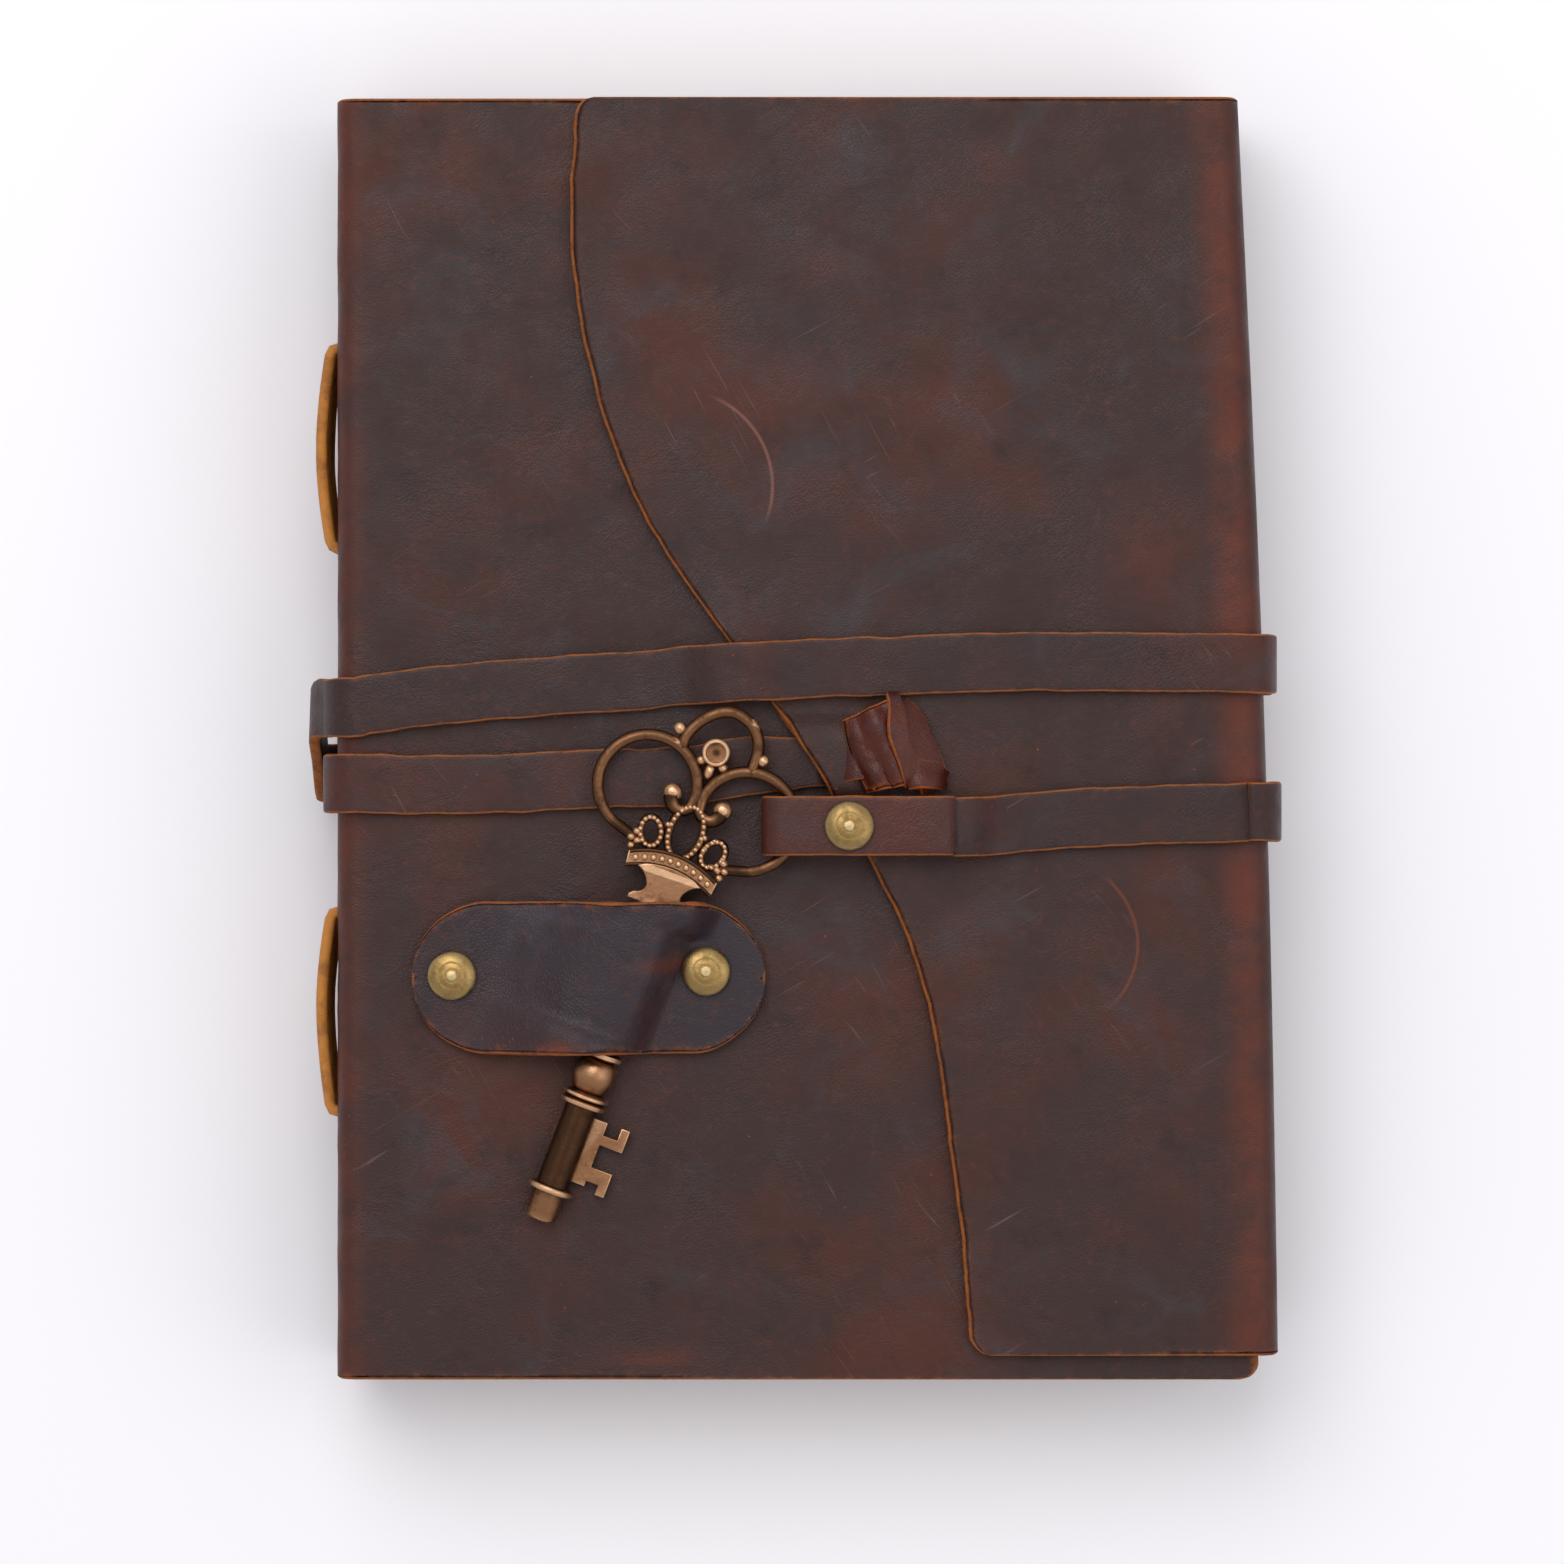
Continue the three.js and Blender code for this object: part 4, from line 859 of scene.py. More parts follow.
def make_stitches():
    """Long stitches of flat tan lacing on the spine, each a little slack in its own way."""
    for where, top in STITCH_TOPS.items():
        for i in range(SIGNATURES):
            z = BLOCK_Z + SIGNATURE / 2 + i * (SIGNATURE + SEAT_GAP)
            low = SPINE_X - SEAT_GAP - LACING_RADIUS
            path = [(SPINE_X + LEATHER, top, z), (SPINE_X + 0.4, top, z), (low + 0.35, top - 0.35, z)]
            for t in spread(0, 1, 18):
                y = mix(top - 1.2, top - STITCH_LENGTH + 1.2, t)
                bow = STITCH_BOW * math.sin(math.pi * t) * (1 + 0.15 * ripple(y, i, 9, 1))
                path.append((low - min(bow, STITCH_BOW), y, z + 0.18 * ripple(y, 3 * i, 8, 2)))
            end = top - STITCH_LENGTH
            path += [(low + 0.35, end + 0.35, z), (SPINE_X + 0.4, end, z), (SPINE_X + LEATHER, end, z)]
            points, faces = tube_parts(path, LACING_RADIUS)
            obj = piece(f"lacing_{where}_{i + 1}", points, faces, LACING)
            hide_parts(f"stitch_{where}_{i + 1}")
            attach(obj, "book")


# The strap

ON_COVER = COVER_TOP + SEAT_GAP + STRAP / 2
ON_FLAP = FLAP_TOP + SEAT_GAP + STRAP / 2
HUG = FOLD_RADIUS + SEAT_GAP + STRAP / 2
OUTER_HUG = HUG + STRAP + LAYER_GAP
SPINE_INNER = SPINE_X + FOLD_RADIUS

KEY_PLACE = (
    Matrix.Translation((KEY_TIP[0], KEY_TIP[1], COVER_TOP + SEAT_GAP))
    @ Matrix.Rotation(math.radians(KEY_TURN), 4, "Z")
    @ Matrix.Rotation(math.radians(KEY_PITCH), 4, "X")
)


def key_point(side, along, height):
    return KEY_PLACE @ Vector((side, along, height))


RING_RIGHT = key_point(RING_SIDE, RING_ALONG, KEY_AXIS_HEIGHT) + Vector((RING_RADIUS, 0, 0))
RING_HEIGHT = key_point(RING_SIDE, RING_ALONG + 2.4, KEY_AXIS_HEIGHT).z
LOOP_HALF = RING_TUBE + SEAT_GAP + STRAP / 2 + LOOP_SLACK
LOOP_FOLD_X = RING_RIGHT.x - 1.6
LOOP_TOP = RING_HEIGHT + LOOP_HALF
LOOP_Y = RING_RIGHT.y - 0.5
LOOP_END_X = LOOP_FOLD_X + LOOP_REACH


def flat_pass(marks, z=ON_COVER, up=UP):
    """Stations over the journal from (share of its width, y) or (share, y, height)."""
    made = []
    for share, y, *height in marks:
        x = mix(SPINE_INNER + 1, fore_edge(y) - FOLD_RADIUS - 1, share)
        made.append(station(x, y, height[0] if height else z, up))
    return made


def fore_turn(y):
    foot = BACK_Z + FOLD_RADIUS
    table_hug = foot - STRAP / 2
    hug = fore_edge(y) + SEAT_GAP + STRAP / 2
    return (turn(hug - table_hug, foot, table_hug, -90, 0, y)
            + turn(hug - HUG, FLAP_TOP - FOLD_RADIUS, HUG, 0, 90, y))


def make_strap():
    """The strap comes from under the flap and winds twice round the journal."""
    foot = BACK_Z + FOLD_RADIUS
    head = COVER_TOP - FOLD_RADIUS
    hug_x, outer_x = SPINE_INNER - HUG, SPINE_INNER - OUTER_HUG
    edge_x = flap_edge(9.2 + STRAP_WIDTH / 2 + 0.6)
    inner = INNER_STRAP_Z + STRAP / 2
    stations = route(
        (SLIT_X - STRAP / 2 - 1 - SEAT_GAP, SLIT_Y, ON_COVER, UP, STUB_WIDTH),
        (-0.5, SLIT_Y + 0.1, ON_COVER, UP, STUB_WIDTH + 0.8),
        (-6, -3.7, ON_COVER), (-14.9, -5, ON_COVER), (-26.7, -5.5, ON_COVER), (-45, -6.3, ON_COVER),
    )
    stations += turn(SPINE_INNER, head, HUG, 90, 180, FIRST_PASS_SPINE_Y)
    stations += turn(SPINE_INNER, foot, HUG, 180, 270, FIRST_PASS_SPINE_Y)
    stations += flat_pass([
        (0.02, FIRST_PASS_SPINE_Y, inner), (0.25, -2.2, inner), (0.5, 2.2, inner),
        (0.56, 3.4, inner - 0.5), (0.64, 4.8, STRAP / 2 + 0.5), (0.7, 5.8, STRAP / 2),
        (0.85, 8.6, STRAP / 2), (0.96, SECOND_PASS_FORE_Y, STRAP / 2),
    ], up=DOWN)
    stations += fore_turn(SECOND_PASS_FORE_Y)
    stations += flat_pass([(0.93, 10.6), (0.74, 10.6), (0.62, 10.2), (0.54, 9.8)], ON_FLAP)
    stations += route(
        (edge_x + 0.5, 9.2, ON_FLAP),
        (edge_x - 2.5, 9, mix(ON_FLAP, ON_COVER, 0.35)),
        (edge_x - 5.5, 8.9, ON_COVER + 0.1),
    )
    stations += flat_pass([(0.33, 8.2), (0.2, 7.2), (0.09, 6.1), (0, 4.7)])
    stations += turn(SPINE_INNER, head, HUG, 90, 180, SECOND_PASS_SPINE_Y)
    for t, x, drop in ((0, mix(hug_x, outer_x, 0.5), 0.1), (0.08, outer_x, 0.26),
                       (0.5, outer_x, 0.6), (0.95, outer_x, 0.9)):
        y = mix(SECOND_PASS_SPINE_Y, SECOND_PASS_BACK_Y, t)
        stations.append(station(x, y, mix(head, foot, drop), (-1, 0, 0)))
    stations += turn(SPINE_INNER, foot, OUTER_HUG, 180, 270, SECOND_PASS_BACK_Y)
    stations += flat_pass([
        (0.02, SECOND_PASS_BACK_Y), (0.3, -6.2), (0.7, -8.6), (0.96, LAST_PASS_FORE_Y),
    ], STRAP / 2, DOWN)
    stations += fore_turn(LAST_PASS_FORE_Y)
    wound = ribbon("strap_wound", stations, STRAP_SKIN, seed=1.0)
    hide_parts("strap_winding")
    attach(wound, "book")
    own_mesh(wound)

    last = [stations[-1]] + flat_pass([(0.93, -10.4), (0.82, -11), (0.75, -11.6)], ON_FLAP)
    last += route(
        (mix(LOOP_END_X, 30, 0.75), -12, mix(ON_FLAP, LOOP_TOP, 0.12)),
        (mix(LOOP_END_X, 30, 0.35), LOOP_Y, mix(ON_FLAP, LOOP_TOP, 0.8)),
        (LOOP_END_X + 1.4, LOOP_Y, LOOP_TOP),
        (LOOP_END_X + SEAT_GAP, LOOP_Y, LOOP_TOP),
    )
    end = ribbon("strap_last_pass", last, STRAP_SKIN, seed=5.0)
    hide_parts("strap_winding")
    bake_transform(end)


def make_loop():
    """The end of the strap goes round the ring of the key and back under itself."""
    under_ring = RING_HEIGHT - LOOP_HALF
    rivet_level = LOOP_TOP - STRAP - SEAT_GAP
    stations = route(
        (LOOP_END_X + 0.4, LOOP_Y, LOOP_TOP),
        (mix(LOOP_END_X, LOOP_FOLD_X, 0.5), LOOP_Y, LOOP_TOP),
    )
    stations += turn(LOOP_FOLD_X, RING_HEIGHT, LOOP_HALF, 90, 270, LOOP_Y, 12)
    stations += route(
        (LOOP_FOLD_X + 2.6, LOOP_Y, under_ring, DOWN),
        (LOOP_FOLD_X + 4.6, LOOP_Y, mix(under_ring, rivet_level, 0.55), DOWN),
        (STRAP_RIVET_X - BACK_RADIUS - 0.4, LOOP_Y, rivet_level, DOWN),
        (LOOP_END_X - 2.4, LOOP_Y, rivet_level, DOWN),
    )
    obj = ribbon("strap_loop", stations, LOOP_SKIN, seed=9.0, waver=0.12)
    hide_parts("strap_key_loop")
    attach(obj, "key")


def make_knot():
    """The other end comes up through the slit and folds over into a pleated hood with a crumpled tail."""
    x, low = SLIT_X, ON_COVER
    over = FLAP_TOP + 0.6

    def pleats(u, v):
        """Soft ridges that run down the hood to the right."""
        ridge = math.cos(2 * math.pi * (1.9 * u - 0.75 * v) + 0.6)
        return 0.34 * ridge * smooth(0, 0.2, u) + 0.22 * ripple(9 * u, 11 * v, 1.6, 4.4)

    grid = []
    for v in spread(0, 1, 34):
        left = Vector((6.5, 2.6)).lerp(Vector((10.0, -7.4)), v) + Vector((-0.5 * math.sin(math.pi * v), 0))
        right = Vector((13.6, 6.0)).lerp(Vector((15.1, -6.4)), v)
        rise = 3.9 * (1 - 0.2 * v) * (0.72 + 0.28 * smooth(0, 0.25, v))
        row = []
        for u in spread(0, 1, 26):
            at = left.lerp(right, u)
            z = over + rise * math.sin(math.pi * (0.1 + 0.62 * u)) + pleats(u, v) * min(1, 4 * u)
            row.append((at.x, at.y, z))
        grid.append(row)
    grid.reverse()
    parts = [sheet("knot_hood", grid, 1.3, KNOT_SKIN)]
    stub = route(
        (x - STRAP / 2 - 1, SLIT_Y, low, UP, STUB_WIDTH),
        (x - 0.45, SLIT_Y, low + 0.35, (-0.6, 0, 0.8), STUB_WIDTH),
        (x, SLIT_Y, low + 1.2, (-1, 0, 0), STUB_WIDTH),
        (x + 0.3, SLIT_Y + 0.1, low + 2.2, (-0.95, 0, 0.3), STUB_WIDTH - 0.6),
        (x + 1.6, SLIT_Y + 0.3, low + 3, (-0.5, 0, 0.8), STUB_WIDTH - 0.8),
        (x + 3.4, SLIT_Y + 0.6, low + 3.3, UP, STUB_WIDTH - 1),
    )
    parts.append(ribbon("knot_stub", stub, KNOT_SKIN, thickness=1.5, seed=13.0))

    def crumpled(name, rows, thickness, seed, waver, size, depth, crease_seed):
        """A creased end of the strap. Its heights are above the flap."""
        def relief(a, t):
            return depth * ripple(a * 3, t * 12, size, crease_seed) * smooth(0, 0.2, t)

        stations = [station(x, y, over + height, up, width) for x, y, height, up, width in rows]
        parts.append(ribbon(name, stations, KNOT_SKIN, thickness, seed, waver, relief))

    crumpled("knot_ridge", (
        (13.1, 6.3, 3.4, (0.3, 0.1, 1), 1.6), (13.5, 4, 4.1, (0.3, 0, 1), 2.4),
        (14.2, 0.5, 4.2, (0.4, 0, 1), 2.7), (14.9, -3.4, 3.7, (0.45, 0, 1), 2.4),
        (15.4, -6.6, 2.9, (0.4, -0.2, 1), 1.8),
    ), 1.2, 17.0, 0.5, 1.4, 0.3, 2.0)
    crumpled("knot_tail", (
        (14.1, 4.9, 2.6, (0.6, 0.1, 1), 3), (15.6, 2, 2.3, (0.55, 0.1, 1), 4.2),
        (17.0, -1.4, 1.9, (0.5, 0.1, 1), 4.6), (18.3, -4.6, 1.4, (0.4, 0.2, 1), 4.8),
        (19.0, -7, 0.9, (0.3, 0.2, 1), 4),
    ), 1.1, 21.0, 0.6, 1.8, 0.5, 6.0)
    crumpled("knot_end", (
        (15, -5.5, 2.9, (0, 0.3, 1), 3.4), (16.8, -4.9, 3, (0, 0.4, 1), 4.4),
        (18.8, -5.3, 2.4, (0.4, 0.3, 1), 4), (20.3, -6.2, 1.2, (0.7, 0.2, 1), 3),
    ), 1.1, 25.0, 0.7, 1.3, 0.5, 9.0)
    for obj in parts:
        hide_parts("strap_knot")
        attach(obj, "flap")


# The key

KEY_PROFILE = (
    (0, 0), (1.7, 0), (1.95, 0.12), (2.2, 0.45), (2.2, 4), (COLLAR_RADIUS - 0.15, 4.15),
    (COLLAR_RADIUS, 4.35), (COLLAR_RADIUS, 4.75), (COLLAR_RADIUS - 0.15, 4.95), (SHANK_RADIUS, 5.15),
    (SHANK_RADIUS, 16.7),
    (COLLAR_RADIUS - 0.1, 16.9), (COLLAR_RADIUS, 17.1), (COLLAR_RADIUS, 17.45), (COLLAR_RADIUS - 0.12, 17.6),
    (2.7, 17.8), (COLLAR_RADIUS - 0.12, 18), (COLLAR_RADIUS, 18.15), (COLLAR_RADIUS, 18.5),
    (2.4, 18.85), (2.2, 18.95), (2.45, 19.4), (2.8, 20.2), (3.05, 21), (3.1, 21.6), (3, 22.3), (2.7, 23.1),
    (2.2, 23.6), (2, 23.8), (2.6, 23.95), (2.9, 24.15), (2.9, 24.7), (2.6, 24.9), (HIDDEN_SHANK_RADIUS, 25),
    (HIDDEN_SHANK_RADIUS, 42.2), (2.05, 43), (2.35, 44), (2.7, 45.2), (3, 46), (3, 47), (0, 47),
)
CROWN_Z = 0.3
CROWN_THICKNESS = 2.6
CROWN_TOP = CROWN_Z + CROWN_THICKNESS
BAND_HALF = 6.3
BAND_BASE = 51.9
BAND_TOP = 54
BAND_ARCH = 0.042
# Each arch: its centre, its half width and half height inside, its lean, its frame's radius and its beads
ARCHES = (
    (0, 57.3, 2.3, 3.75, 0, 0.6, 27),
    (-4.6, 55.8, 1.45, 2.0, 0.35, 0.52, 15),
    (4.6, 55.8, 1.45, 2.0, -0.35, 0.52, 15),
)


def bezier(a, b, c, count=7):
    """Points of a quadratic curve after its start."""
    points = []
    for t in spread(0, 1, count)[1:]:
        points.append(tuple((1 - t) ** 2 * a[k] + 2 * t * (1 - t) * b[k] + t * t * c[k] for k in (0, 1)))
    return points


def band_level(x, base):
    """The band arches up to the middle of the crown."""
    return base - BAND_ARCH * x * x


def neck_outline():
    right = [(4.4, 46.2), (4.5, 46.8)] + bezier((4.4, 47.3), (2.5, 47.5), (2.6, 48.8))
    right += bezier((2.6, 48.8), (3.1, 50.3), (4.7, 50.9))
    left = [(-x, y) for x, y in reversed(right)]
    top = [(x, band_level(x, 52.1)) for x in spread(4.4, -4.4, 10)[1:-1]]
    return right + top + left


def band_outline():
    xs = spread(-BAND_HALF, BAND_HALF, 16)
    lower = [(x, band_level(x, BAND_BASE)) for x in xs]
    return lower + [(x * 1.04, band_level(x, BAND_TOP)) for x in reversed(xs)]


def ellipse(x, y, a, b, lean, count):
    along, across = math.cos(lean), math.sin(lean)
    turned = [(a * c, b * s) for c, s in circle(count)]
    return [(x + u * along - v * across, y + u * across + v * along) for u, v in turned]


def plate_parts(outline, z, thickness, soft):
    """A flat plate with rounded edges, as points and faces, from a filled curve."""
    curve = bpy.data.curves.new("outline", "CURVE")
    curve.dimensions = "2D"
    curve.fill_mode = "BOTH"
    curve.extrude = thickness / 2 - soft
    curve.bevel_depth = soft
    curve.bevel_resolution = 2
    curve.offset = -soft
    spline = curve.splines.new("POLY")
    spline.points.add(len(outline) - 1)
    for point, (x, y) in zip(spline.points, outline):
        point.co = (x, y, 0, 1)
    spline.use_cyclic_u = True
    holder = add_object("outline", curve)
    bpy.context.view_layer.update()
    mesh = bpy.data.meshes.new_from_object(holder.evaluated_get(bpy.context.evaluated_depsgraph_get()))
    points = [v.co + Vector((0, 0, z + thickness / 2)) for v in mesh.vertices]
    faces = [tuple(p.vertices) for p in mesh.polygons]
    bpy.data.objects.remove(holder)
    bpy.data.curves.remove(curve)
    bpy.data.meshes.remove(mesh)
    return points, faces


# How a ring of the bow curls in from its circle to its ball
SCROLL = ((-0.6, 60.7), (-1.2, 60.15), (-1.9, 59.95), (-2.6, 60), (-3.1, 60.3), (-3.5, 60.9), (-3.7, 61.5))
# The bit's outline
BIT = (
    (1, 6.4), (4.2, 6.4), (4.2, 7.2), (5.9, 7.2), (5.9, 5.8), (7.3, 5.8), (7.3, 9.3), (4.2, 9.3),
    (4.2, 12.5), (7.5, 12.5), (7.5, 15.8), (6.2, 15.8), (6.2, 14), (4.2, 14), (4.2, 15.8), (1, 15.8),
)
# The middle ring of the bow, the cup in it as (radius, height), and the balls round them with their radii
BAIL = ((-4.6, 68), (-4.7, 70), (-3, 73.2), (0, 75.2), (3.4, 74.4), (5.2, 72), (5.5, 68))
CUP = (
    (0, 0.4), (1.7, 0.4), (1.9, 0.6), (1.9, 2.85), (1.75, 3), (1.45, 3), (1.35, 2.9), (1.35, 1.6), (0, 1.6),
)
CUP_ALONG = 69.2
BOW_BALLS = (
    (-5.9, 70.6, (0.95, 0.95, 0.95)), (6.5, 70.4, (0.95, 0.95, 0.95)),
    (-1.6, 67.5, (0.7, 0.7, 0.75)), (1.6, 67.5, (0.7, 0.7, 0.75)), (0, 66.4, (0.75, 1.2, 0.75)),
)


def ring_parts(side):
    """One open ring of the bow, which curls in to a ball."""
    z = KEY_AXIS_HEIGHT
    path = [Vector((side * -6.2, 54.2, z))]
    for c, s in map(around, spread(-108, -355, 60)[1:]):
        path.append(Vector((side * (-RING_SIDE + RING_RADIUS * c), RING_ALONG + RING_RADIUS * s, z)))
    for x, y in SCROLL:
        path.append(Vector((side * x, y, z)))

    def radius(t):
        """The tube is thinner at the crown and swells in to the ball."""
        return RING_TUBE * (0.9 + 0.1 * smooth(0, 0.2, t) + 0.3 * smooth(0.93, 1, t))

    return [tube_parts(path, radius, 16), ball_parts((side * -3.7, 62, z), (1.4, 1.3, 0.95), 24, 12)]


def crown_base_parts():
    """The neck, and the band with a rim at each edge."""
    parts = [
        plate_parts(neck_outline(), CROWN_Z, CROWN_THICKNESS, 0.22),
        plate_parts(band_outline(), CROWN_Z, CROWN_THICKNESS - 0.35, 0.2),
    ]
    for base in (BAND_BASE + 0.05, BAND_TOP - 0.05):
        rim = [Vector((x, band_level(x, base), CROWN_TOP - 0.32)) for x in spread(-BAND_HALF, BAND_HALF, 24)]
        parts.append(tube_parts(rim, 0.27, 10))
    return parts


def crown_bead_parts():
    """Oval beads on the band, beaded frames round the arches, and beads beside them."""
    parts = []
    for x in spread(-5.3, 5.3, 9):
        parts.append(ball_parts((x, band_level(x, 52.95), CROWN_TOP - 0.3), (0.42, 0.5, 0.36), 12, 8))
    level = KEY_AXIS_HEIGHT + 0.1
    for x, y, a, b, lean, frame_radius, count in ARCHES:
        loop = [Vector((u, v, level)) for u, v in ellipse(x, y, a, b, lean, 40)]
        parts.append(tube_parts(loop, frame_radius, 12, closed=True))
        for u, v in ellipse(x, y, a, b, lean, count):
            parts.append(ball_parts((u, v, level + frame_radius * 0.85), (0.36, 0.36, 0.3), 10, 6))
    for side in (-1, 1):
        for x, y in ((6.5, 53.1), (6.9, 54.2), (6.4, 55.2), (5.9, 54)):
            parts.append(ball_parts((side * x, y, KEY_AXIS_HEIGHT + 0.3), (0.62, 0.55, 0.8), 12, 8))
        parts.append(ball_parts((side * 2.7, 57.6, KEY_AXIS_HEIGHT + 0.2), (0.5, 0.5, 0.7), 12, 8))
    return parts


def bow_parts():
    """The two open rings, and the middle ring with its cup and balls."""
    parts = ring_parts(1) + ring_parts(-1)
    bail = flowing([station(x, y, KEY_AXIS_HEIGHT) for x, y in BAIL], 0.5)
    parts.append(tube_parts([s[0] for s in bail], RING_TUBE, 16))
    points, faces = lathe_parts(CUP, 32)
    parts.append(([p + Vector((0, CUP_ALONG, 0)) for p in points], faces))
    for x, y, radii in BOW_BALLS:
        parts.append(ball_parts((x, y, KEY_AXIS_HEIGHT), radii))
    return parts


def make_key():
    """One casting of a turned shank, a bit, a crown and a bow, flat on its underside."""
    turned, faces = lathe_parts(KEY_PROFILE, 48, "Y")
    parts = [([p + Vector((0, 0, KEY_AXIS_HEIGHT)) for p in turned], faces)]
    parts.append(plate_parts(BIT, 0.02, BIT_THICKNESS, 0.18))
    parts += crown_base_parts() + crown_bead_parts() + bow_parts()
    points, faces = gather(parts)
    flat = [KEY_PLACE @ Vector((p.x, p.y, max(p.z, 0.0))) for p in points]
    obj = piece("antique_key", flat, faces, BRONZE, sharp=38)
    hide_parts("key")
    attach(obj, "key")


# The patch rises more over the key's collar and over the flange of its crown. Each has its lift and the
# places along the key where it ends and where it is full.
COLLAR_LIFT = 1.3
COLLAR_FULL, COLLAR_END = 24.8, 27.5
FLANGE_LIFT = 2.6
FLANGE_START, FLANGE_FULL = 43.4, 46


def make_patch():
    """The patch arches over the shank of the key and comes down to a rivet at each end."""
    inverse = KEY_PLACE.inverted()
    low = COVER_TOP + SEAT_GAP + PATCH_LEATHER / 2

    def level(x, y):
        p = inverse @ Vector((x, y, COVER_TOP))
        over = key_point(0, p.y, KEY_AXIS_HEIGHT + HIDDEN_SHANK_RADIUS).z + SEAT_GAP + PATCH_LEATHER / 2
        collar = COLLAR_LIFT * (1 - smooth(COLLAR_FULL, COLLAR_END, p.y))
        flange = FLANGE_LIFT * smooth(FLANGE_START, FLANGE_FULL, p.y)
        if p.x < 0:
            fall = smooth(-19, -2.6 - flange, p.x)
        else:
            fall = 1 - smooth(0.8 + flange, 6.4 + flange, p.x)
        crease = 0.16 * ripple(p.x * 1.6, p.y * 0.5, 5, 6.6) * fall
        return mix(low, over + collar, fall) + crease + swell(x, y)

    half, end = PATCH_LENGTH / 2, PATCH_WIDTH / 2
    columns = [-half, -half + 0.4, -half + 0.9] + spread(-half + 1.6, half - 1.6, 72)
    columns += [half - 0.9, half - 0.4, half]
    grid = []
    for v in [-1, -0.97, -0.93] + spread(-0.86, 0.86, 22) + [0.93, 0.97, 1]:
        row = []
        for u in columns:
            inset = max(0, end - (half - abs(u)))
            reach = max(0.6, math.sqrt(max(0, end * end - inset * inset)))
            x = PATCH_CENTRE[0] + u
            y = PATCH_CENTRE[1] + v * (reach + 0.2 * ripple(u, v, 5, 2.5))
            row.append((x, y, level(x, y)))
        grid.append(row)

    def rub(p):
        """A red crease beside the right rivet, and a torn nick at the tail edge."""
        return min(1, blot(p, -19.5, -31.2, 3.4, 1.0, 0.2) + 1.2 * blot(p, -33, -42.8, 2.2, 0.8))

    obj = sheet("patch", grid, PATCH_LEATHER, PATCH_SKIN, rub=rub)
    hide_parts("key_patch")
    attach(obj, "front_cover")


# A rivet's cap with its post, as (radius, height) from the underside of the cap
DOME = (
    (0, -1.2), (1.4, -1.2), (1.4, 0), (3.2, 0), (3.36, 0.08), (3.4, 0.24), (3.32, 0.42), (3.0, 0.7),
    (2.5, 0.95), (2.1, 1.08), (1.9, 1.11), (1.78, 1.09), (1.66, 1.12), (1.3, 1.22), (1.0, 1.25),
    (0.85, 1.23), (0.75, 1.25), (0.45, 1.29), (0, 1.3),
)


def make_rivets():
    """Domed brass caps with turned rings."""
    patch_top = COVER_TOP + SEAT_GAP + PATCH_LEATHER + SEAT_GAP
    places = [(f"patch_rivet_{side}", at, patch_top, "front_cover") for side, at in PATCH_RIVETS.items()]
    places.append(("strap_rivet", (STRAP_RIVET_X, LOOP_Y), LOOP_TOP + STRAP / 2 + SEAT_GAP, "key"))
    for name, (x, y), z, body in places:
        points, faces = lathe_parts(DOME, 56)
        obj = piece(f"{name}_dome", [p + Vector((x, y, z)) for p in points], faces, BRASS)
        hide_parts(f"{name}_cap")
        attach(obj, body)
        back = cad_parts[f"{name}_back"]
        back.data.materials.clear()
        back.data.materials.append(BRASS)


make_back()
make_front()
make_flap()
make_fore_edge_fold()
make_spine_hinge()
make_pages()
make_stitches()
make_strap()
make_loop()
make_knot()
make_key()
make_patch()
make_rivets()


# Stage, light and camera

PHOTO_SIDE = 217.2
PHOTO_CENTRE = (-2.08, -5.97)
CAMERA_HEIGHT = 900
BACKGROUND = "f7f5f9"
WORLD_STRENGTH = 0.66
# Metres: half the floor's side and how far it lies below the journal, and each lamp's place, size and power
FLOOR_HALF = 3.0
FLOOR_DROP = 0.0002
LAMPS = (
    ("key_light", (-0.22, 0.5, 0.95), 0.8, 5.4),
    ("fill_light", (0.6, -0.1, 0.8), 0.7, 1.6),
)


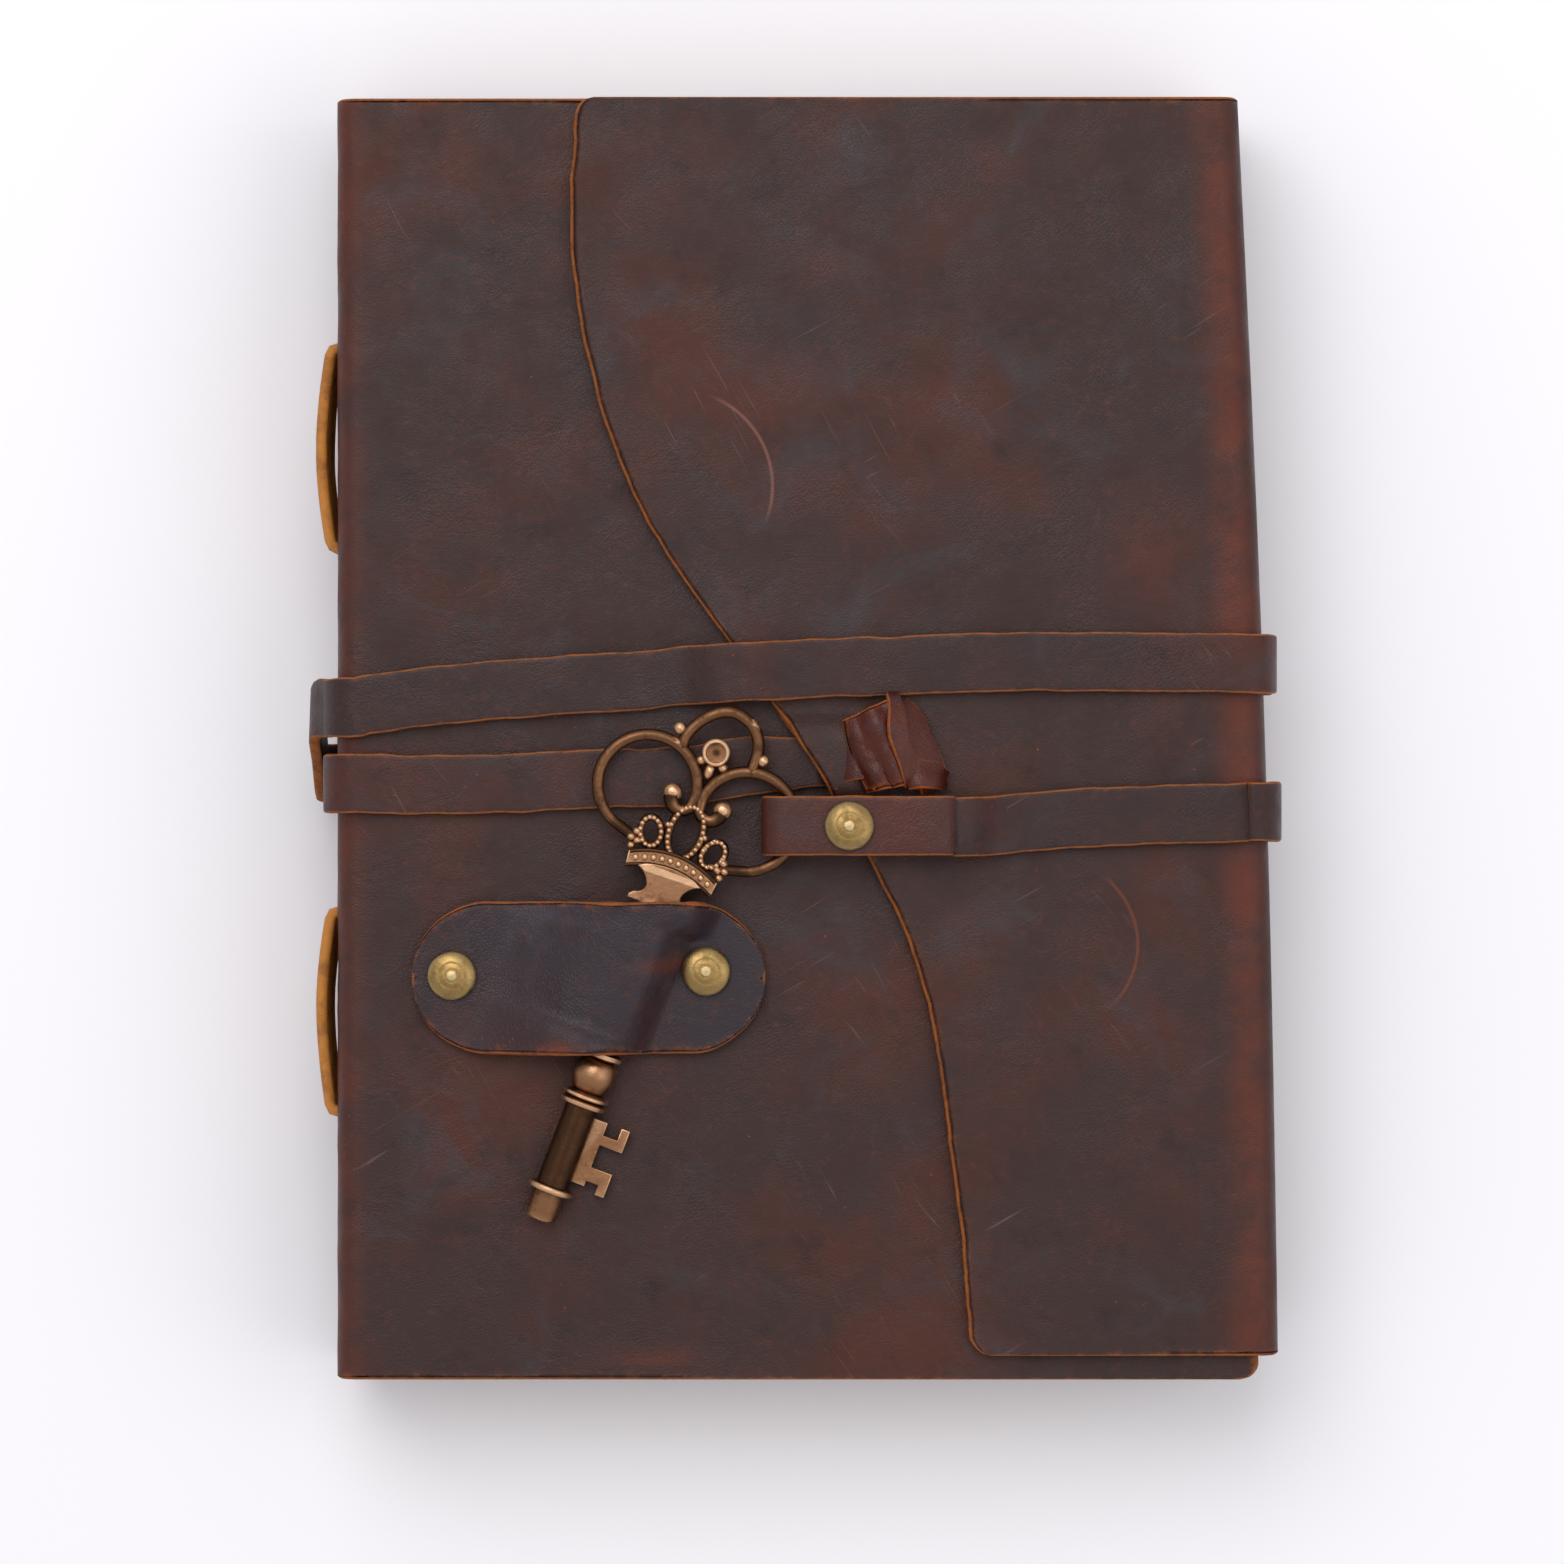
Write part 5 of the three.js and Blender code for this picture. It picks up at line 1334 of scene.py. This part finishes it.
def make_stage():
    mesh = bpy.data.meshes.new("floor")
    corners = ((-1, -1), (1, -1), (1, 1), (-1, 1))
    mesh.from_pydata([(x * FLOOR_HALF, y * FLOOR_HALF, -FLOOR_DROP) for x, y in corners], [], [(0, 1, 2, 3)])
    s = Shader("pale_floor")
    s.principled(Base_Color=linear(BACKGROUND), Roughness=0.9, Specular_IOR_Level=0.0)
    mesh.materials.append(s.material)
    floor = add_object("floor", mesh)
    floor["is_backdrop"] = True

    world = bpy.data.worlds.new("studio")
    bpy.context.scene.world = world
    world.use_nodes = True
    tree = world.node_tree
    tree.nodes.clear()
    path = tree.nodes.new("ShaderNodeLightPath")
    either = tree.nodes.new("ShaderNodeMixShader")
    output = tree.nodes.new("ShaderNodeOutputWorld")
    tree.links.new(path.outputs["Is Camera Ray"], either.inputs[0])
    # The world lights the journal with the first, and the camera sees the second.
    for socket, colour, strength in (
        (1, (0.98, 0.98, 1, 1), WORLD_STRENGTH),
        (2, linear(BACKGROUND), 1),
    ):
        made = tree.nodes.new("ShaderNodeBackground")
        made.inputs["Color"].default_value = colour
        made.inputs["Strength"].default_value = strength
        tree.links.new(made.outputs[0], either.inputs[socket])
    tree.links.new(either.outputs[0], output.inputs[0])

    for name, at, size, power in LAMPS:
        lamp = bpy.data.lights.new(name, "AREA")
        lamp.size = size
        lamp.energy = power
        light = add_object(name, lamp)
        light.location = at
        light.rotation_euler = (-Vector(at)).to_track_quat("-Z", "Y").to_euler()
        light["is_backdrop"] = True


def make_camera():
    """Straight down, framed as the photograph."""
    camera = bpy.data.cameras.new("camera")
    camera.sensor_width = 36
    camera.lens = camera.sensor_width * CAMERA_HEIGHT / PHOTO_SIDE
    obj = add_object("camera", camera)
    obj.location = row_frame(*PHOTO_CENTRE, COVER_TOP + CAMERA_HEIGHT)
    bpy.context.scene.camera = obj


make_stage()
make_camera()
bpy.context.scene.view_settings.view_transform = "Standard"

boxes = {"cad": cad_box, "visual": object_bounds()}
{name: [list(corner) for corner in box] for name, box in boxes.items()}
